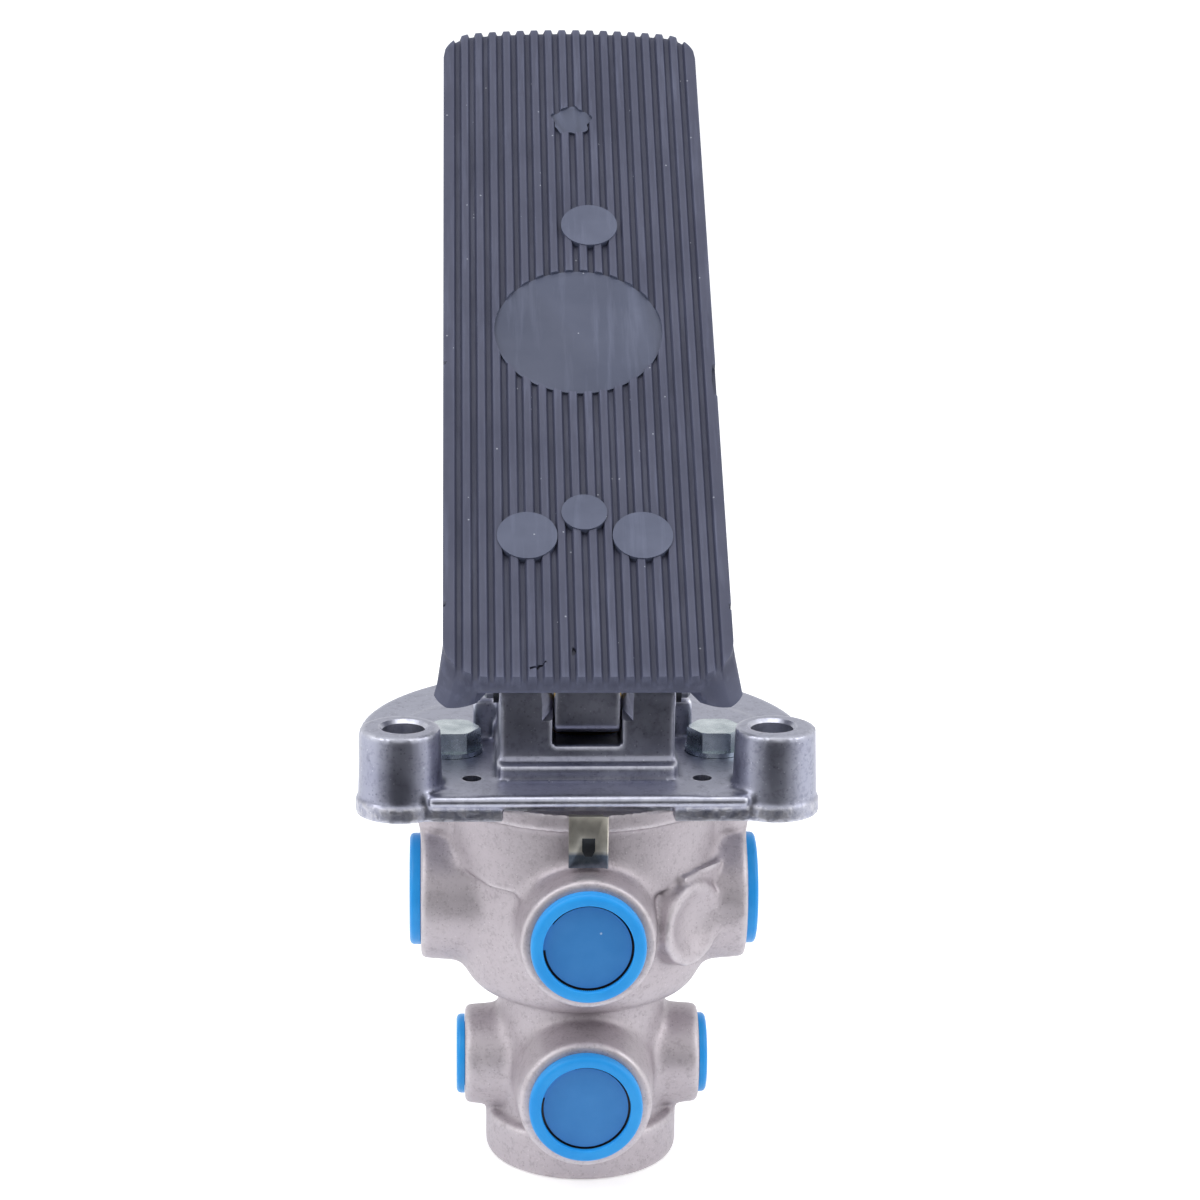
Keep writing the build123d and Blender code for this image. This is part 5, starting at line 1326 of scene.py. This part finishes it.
def pressed_soft(piece, body, node, joint):
    """A soft piece shaded smooth, put on its body with a mesh of its own, standing for its CAD node."""
    crisp(piece, 50.0)
    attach(piece, body)
    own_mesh(piece)
    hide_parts(node)
    print(piece.name, "flattens with", joint)


boot_low, boot_high = box_mm("plunger_boot")
FOLDS, BOOT_WALL = 3, 0.9
base, top = float(boot_low[2]), float(boot_high[2])
outer, inner = float(boot_high[0]), 7.5
skin = []
for step in range(FOLDS * 12 + 1):
    wave = 0.5 - 0.5 * math.cos(2 * math.pi * step / 12)
    skin.append((inner + (outer - inner) * wave, base + (top - base) * step / (FOLDS * 12)))
lining = [(radius - BOOT_WALL, height) for radius, height in reversed(skin)]
boot = turned("plunger_boot_bellows", skin + lining, black_rubber)
pressed_soft(boot, "root", "plunger_boot", "plunger_slide")

ring_low, ring_high = box_mm("graduating_spring")
base, top, outer = float(ring_low[2]), float(ring_high[2]), float(ring_high[0])
hole, waist = 5.0, 1.5
steps = [n / 16 for n in range(17)]
flank = [(outer - waist * math.sin(math.pi * t), base + (top - base) * t) for t in steps]
ring = turned("rubber_spring_ring", flank + [(hole, top), (hole, base)], black_rubber)
pressed_soft(ring, "upper_piston", "graduating_spring", "plunger_slide")

# %% Coil springs
SPRINGS = {
    "upper_return_spring": ("upper_piston_slide", 1.8, 0.80),
    "primary_valve_spring": ("primary_valve_slide", 1.1, 0.835),
    "relay_spring": ("relay_piston_slide", 1.4, 0.694),
    "secondary_valve_spring": ("secondary_valve_slide", 1.1, 0.79),
}
COIL_TURNS = 5.0


def coil(name, wire, width, low, high):
    """One compression spring, wound by Geometry Nodes between two heights."""
    reach, rise = (width - wire) / 2, high - low - wire
    wound = Field("coil_" + name, wire=wire / 2 * MM, reach=reach * MM, rise=rise * MM)
    nodes, links = wound.tree.nodes, wound.tree.links
    path = nodes.new("GeometryNodeCurveSpiral")
    path.inputs["Resolution"].default_value = 36
    path.inputs["Rotations"].default_value = COIL_TURNS
    for label in ("Start Radius", "End Radius"):
        links.new(wound.size.reach, path.inputs[label])
    links.new(wound.size.rise, path.inputs["Height"])
    section = nodes.new("GeometryNodeCurvePrimitiveCircle")
    section.inputs["Resolution"].default_value = 12
    links.new(wound.size.wire, section.inputs["Radius"])
    swept = nodes.new("GeometryNodeCurveToMesh")
    swept.inputs["Fill Caps"].default_value = True
    links.new(path.outputs[0], swept.inputs["Curve"])
    links.new(section.outputs[0], swept.inputs["Profile Curve"])
    seat = nodes.new("GeometryNodeTransform")
    seat.inputs["Translation"].default_value = (0, 0, (low + wire / 2) * MM)
    links.new(swept.outputs[0], seat.inputs["Geometry"])
    return wound.result(name + "_coil", seat.outputs[0], black_spring_steel)


for name, (joint, wire, keep) in SPRINGS.items():
    low, high = box_mm(name)
    base = float(low[2])
    spring = coil(name, wire, float(high[0] - low[0]), base, float(high[2]))
    pressed_soft(spring, "root", name, joint)

# %% [markdown]
# ## The CAD pieces that keep their shape
# Bolts, washers, pins, rings, pistons and valves are turned or forged parts whose CAD shape is
# already right. They stay as they are, and each material slot is given the finish of its name.

# %% Finishes for the CAD pieces
for obj in frame["nodes"].values():
    for slot in obj.material_slots:
        key = slot.material.name.split(".")[0] if slot.material else ""
        if key in FINISHES:
            slot.material = FINISHES[key]
        else:
            print("no finish for", key, "on", obj.name)

# %% [markdown]
# ## Camera, floor and light
# The camera stands where the photograph was taken from: its place, its three angles and its lens
# were worked out from edges whose real size is known. The floor is white paper that fills the view,
# and the sky is a soft dome that is brighter above and at the sides than in front. Two large lamps
# stand at the sides and one hangs above. Two dark cards, one flat and one upright, are out of view
# in front of the object, and only shiny surfaces see them: metal looks like metal because it has
# something dark to reflect.

# %% Camera
CAMERA_PLACE = (-34.916, -885.095, 293.071)
PITCH_DOWN, YAW, ROLL = (math.radians(angle) for angle in (15.4128, 2.5111, 0.6197))
level = np.array([math.sin(YAW), math.cos(YAW), 0.0])
up = np.array([0.0, 0.0, 1.0])
forward = level * math.cos(PITCH_DOWN) - up * math.sin(PITCH_DOWN)
above = level * math.sin(PITCH_DOWN) + up * math.cos(PITCH_DOWN)
right_way = np.array([math.cos(YAW), -math.sin(YAW), 0.0])
camera_right = right_way * math.cos(ROLL) + above * math.sin(ROLL)
camera_up = above * math.cos(ROLL) - right_way * math.sin(ROLL)
lens = bpy.data.cameras.new("photo_camera")
lens.sensor_width = 36.0
lens.lens = 104.49
lens.clip_end = 50.0
camera = plain_object("photo_camera", lens)
turn = Matrix([camera_right, camera_up, -forward]).transposed().to_4x4()
camera.matrix_world = Matrix.Translation(Vector(CAMERA_PLACE) * MM) @ turn
bpy.context.scene.camera = camera
bpy.context.scene.view_settings.view_transform = "Standard"
print("camera", CAMERA_PLACE)

# %% Floor
FLOOR_HALF = 6.0
floor_level = BODY_BOTTOM * MM


def flat_sheet(name, x_range, y_range, height, material):
    """A level rectangle that isn't part of the object."""
    (left, right), (front, back) = x_range, y_range
    plan = [(left, front), (right, front), (right, back), (left, back)]
    corners = [(x, y, height) for x, y in plan]
    mesh = bpy.data.meshes.new(name)
    mesh.from_pydata(corners, [], [(0, 1, 2, 3)])
    mesh.materials.append(material)
    sheet = plain_object(name, mesh)
    return sheet


def direct_view(tree):
    """One where a ray comes from the camera, a mirror or clear glass, and nought elsewhere."""
    rays = wired(tree, "ShaderNodeLightPath").outputs
    seen_or_mirrored = sums(tree, "MAXIMUM", rays["Is Camera Ray"], rays["Is Glossy Ray"])
    return sums(tree, "MAXIMUM", seen_or_mirrored, rays["Is Transmission Ray"])


paper, tree, shader, where = new_finish("floor_paper", 0.0, 0.9)
paper_tone = use(tree, grain_group, Where=where, Grain=40.0, Blotch=2.0)
white = blend(tree, paper_tone["Tone"], (0.9, 0.9, 0.9, 1), (0.92, 0.92, 0.92, 1))
tree.links.new(white, shader.inputs["Base Color"])
shader.inputs["Specular IOR Level"].default_value = 0.1
shader.inputs["Emission Strength"].default_value = 0.42
tint = blend(tree, direct_view(tree), (0, 0, 0, 1), (1, 1, 1, 1))
tree.links.new(tint, shader.inputs["Emission Color"])
floor_range = [-FLOOR_HALF, FLOOR_HALF]
floor = flat_sheet("floor", floor_range, floor_range, floor_level, paper)

card_black, tree, shader, where = new_finish("card_black", 0.0, 0.9)
shader.inputs["Base Color"].default_value = (0.02, 0.02, 0.025, 1)
CARD_FRONT = -0.95
card = flat_sheet("dark_card", [-0.45, 0.45], [CARD_FRONT, -0.16], floor_level + 0.002, card_black)
stand = flat_sheet("dark_stand", [-0.6, 0.6], [0.0, 0.3], 0.0, card_black)
upright = Matrix.Rotation(math.radians(90), 4, "X")
stand.data.transform(Matrix.Translation((0, CARD_FRONT, floor_level)) @ upright)
for dark in (card, stand):
    for kind in ("camera", "diffuse", "shadow", "transmission"):
        setattr(dark, "visible_" + kind, False)

# %% Sky
world = bpy.data.worlds.new("studio")
bpy.context.scene.world = world
world.use_nodes = True
tree = world.node_tree
direction = wired(tree, "ShaderNodeTexCoord").outputs["Generated"]
split = wired(tree, "ShaderNodeSeparateXYZ", {0: direction}).outputs
above_level = between(tree, split["Z"], -0.1, 0.9, 0.62, 1.05)
behind = between(tree, split["Y"], -0.9, 0.1, 0.45, 1.0)
brightness = sums(tree, "MULTIPLY", above_level, behind)
backdrop = direct_view(tree)
sky = tree.nodes["Background"]
tree.links.new(blend(tree, backdrop, (0.96, 0.975, 1.0, 1), (1, 1, 1, 1)), sky.inputs["Color"])
tree.links.new(between(tree, backdrop, 0.0, 1.0, brightness, 1.0), sky.inputs["Strength"])

# %% Lamps


def soft_lamp(name, place, aim, size, power):
    """A large soft area lamp that looks at a point."""
    data = bpy.data.lights.new(name, "AREA")
    data.shape = "RECTANGLE"
    data.size, data.size_y = size
    data.energy = power
    lamp = plain_object(name, data)
    lamp.location = place
    lamp.rotation_euler = (Vector(aim) - Vector(place)).to_track_quat("-Z", "Y").to_euler()
    return lamp


soft_lamp("left_lamp", (-0.9, -0.35, 0.75), (0, 0, 0), (0.5, 0.9), 4.0)
soft_lamp("right_lamp", (0.95, -0.3, 0.6), (0, 0, 0), (0.5, 0.9), 3.2)
soft_lamp("top_lamp", (0.0, -0.25, 1.2), (0, 0.02, 0), (0.9, 0.6), 3.0)
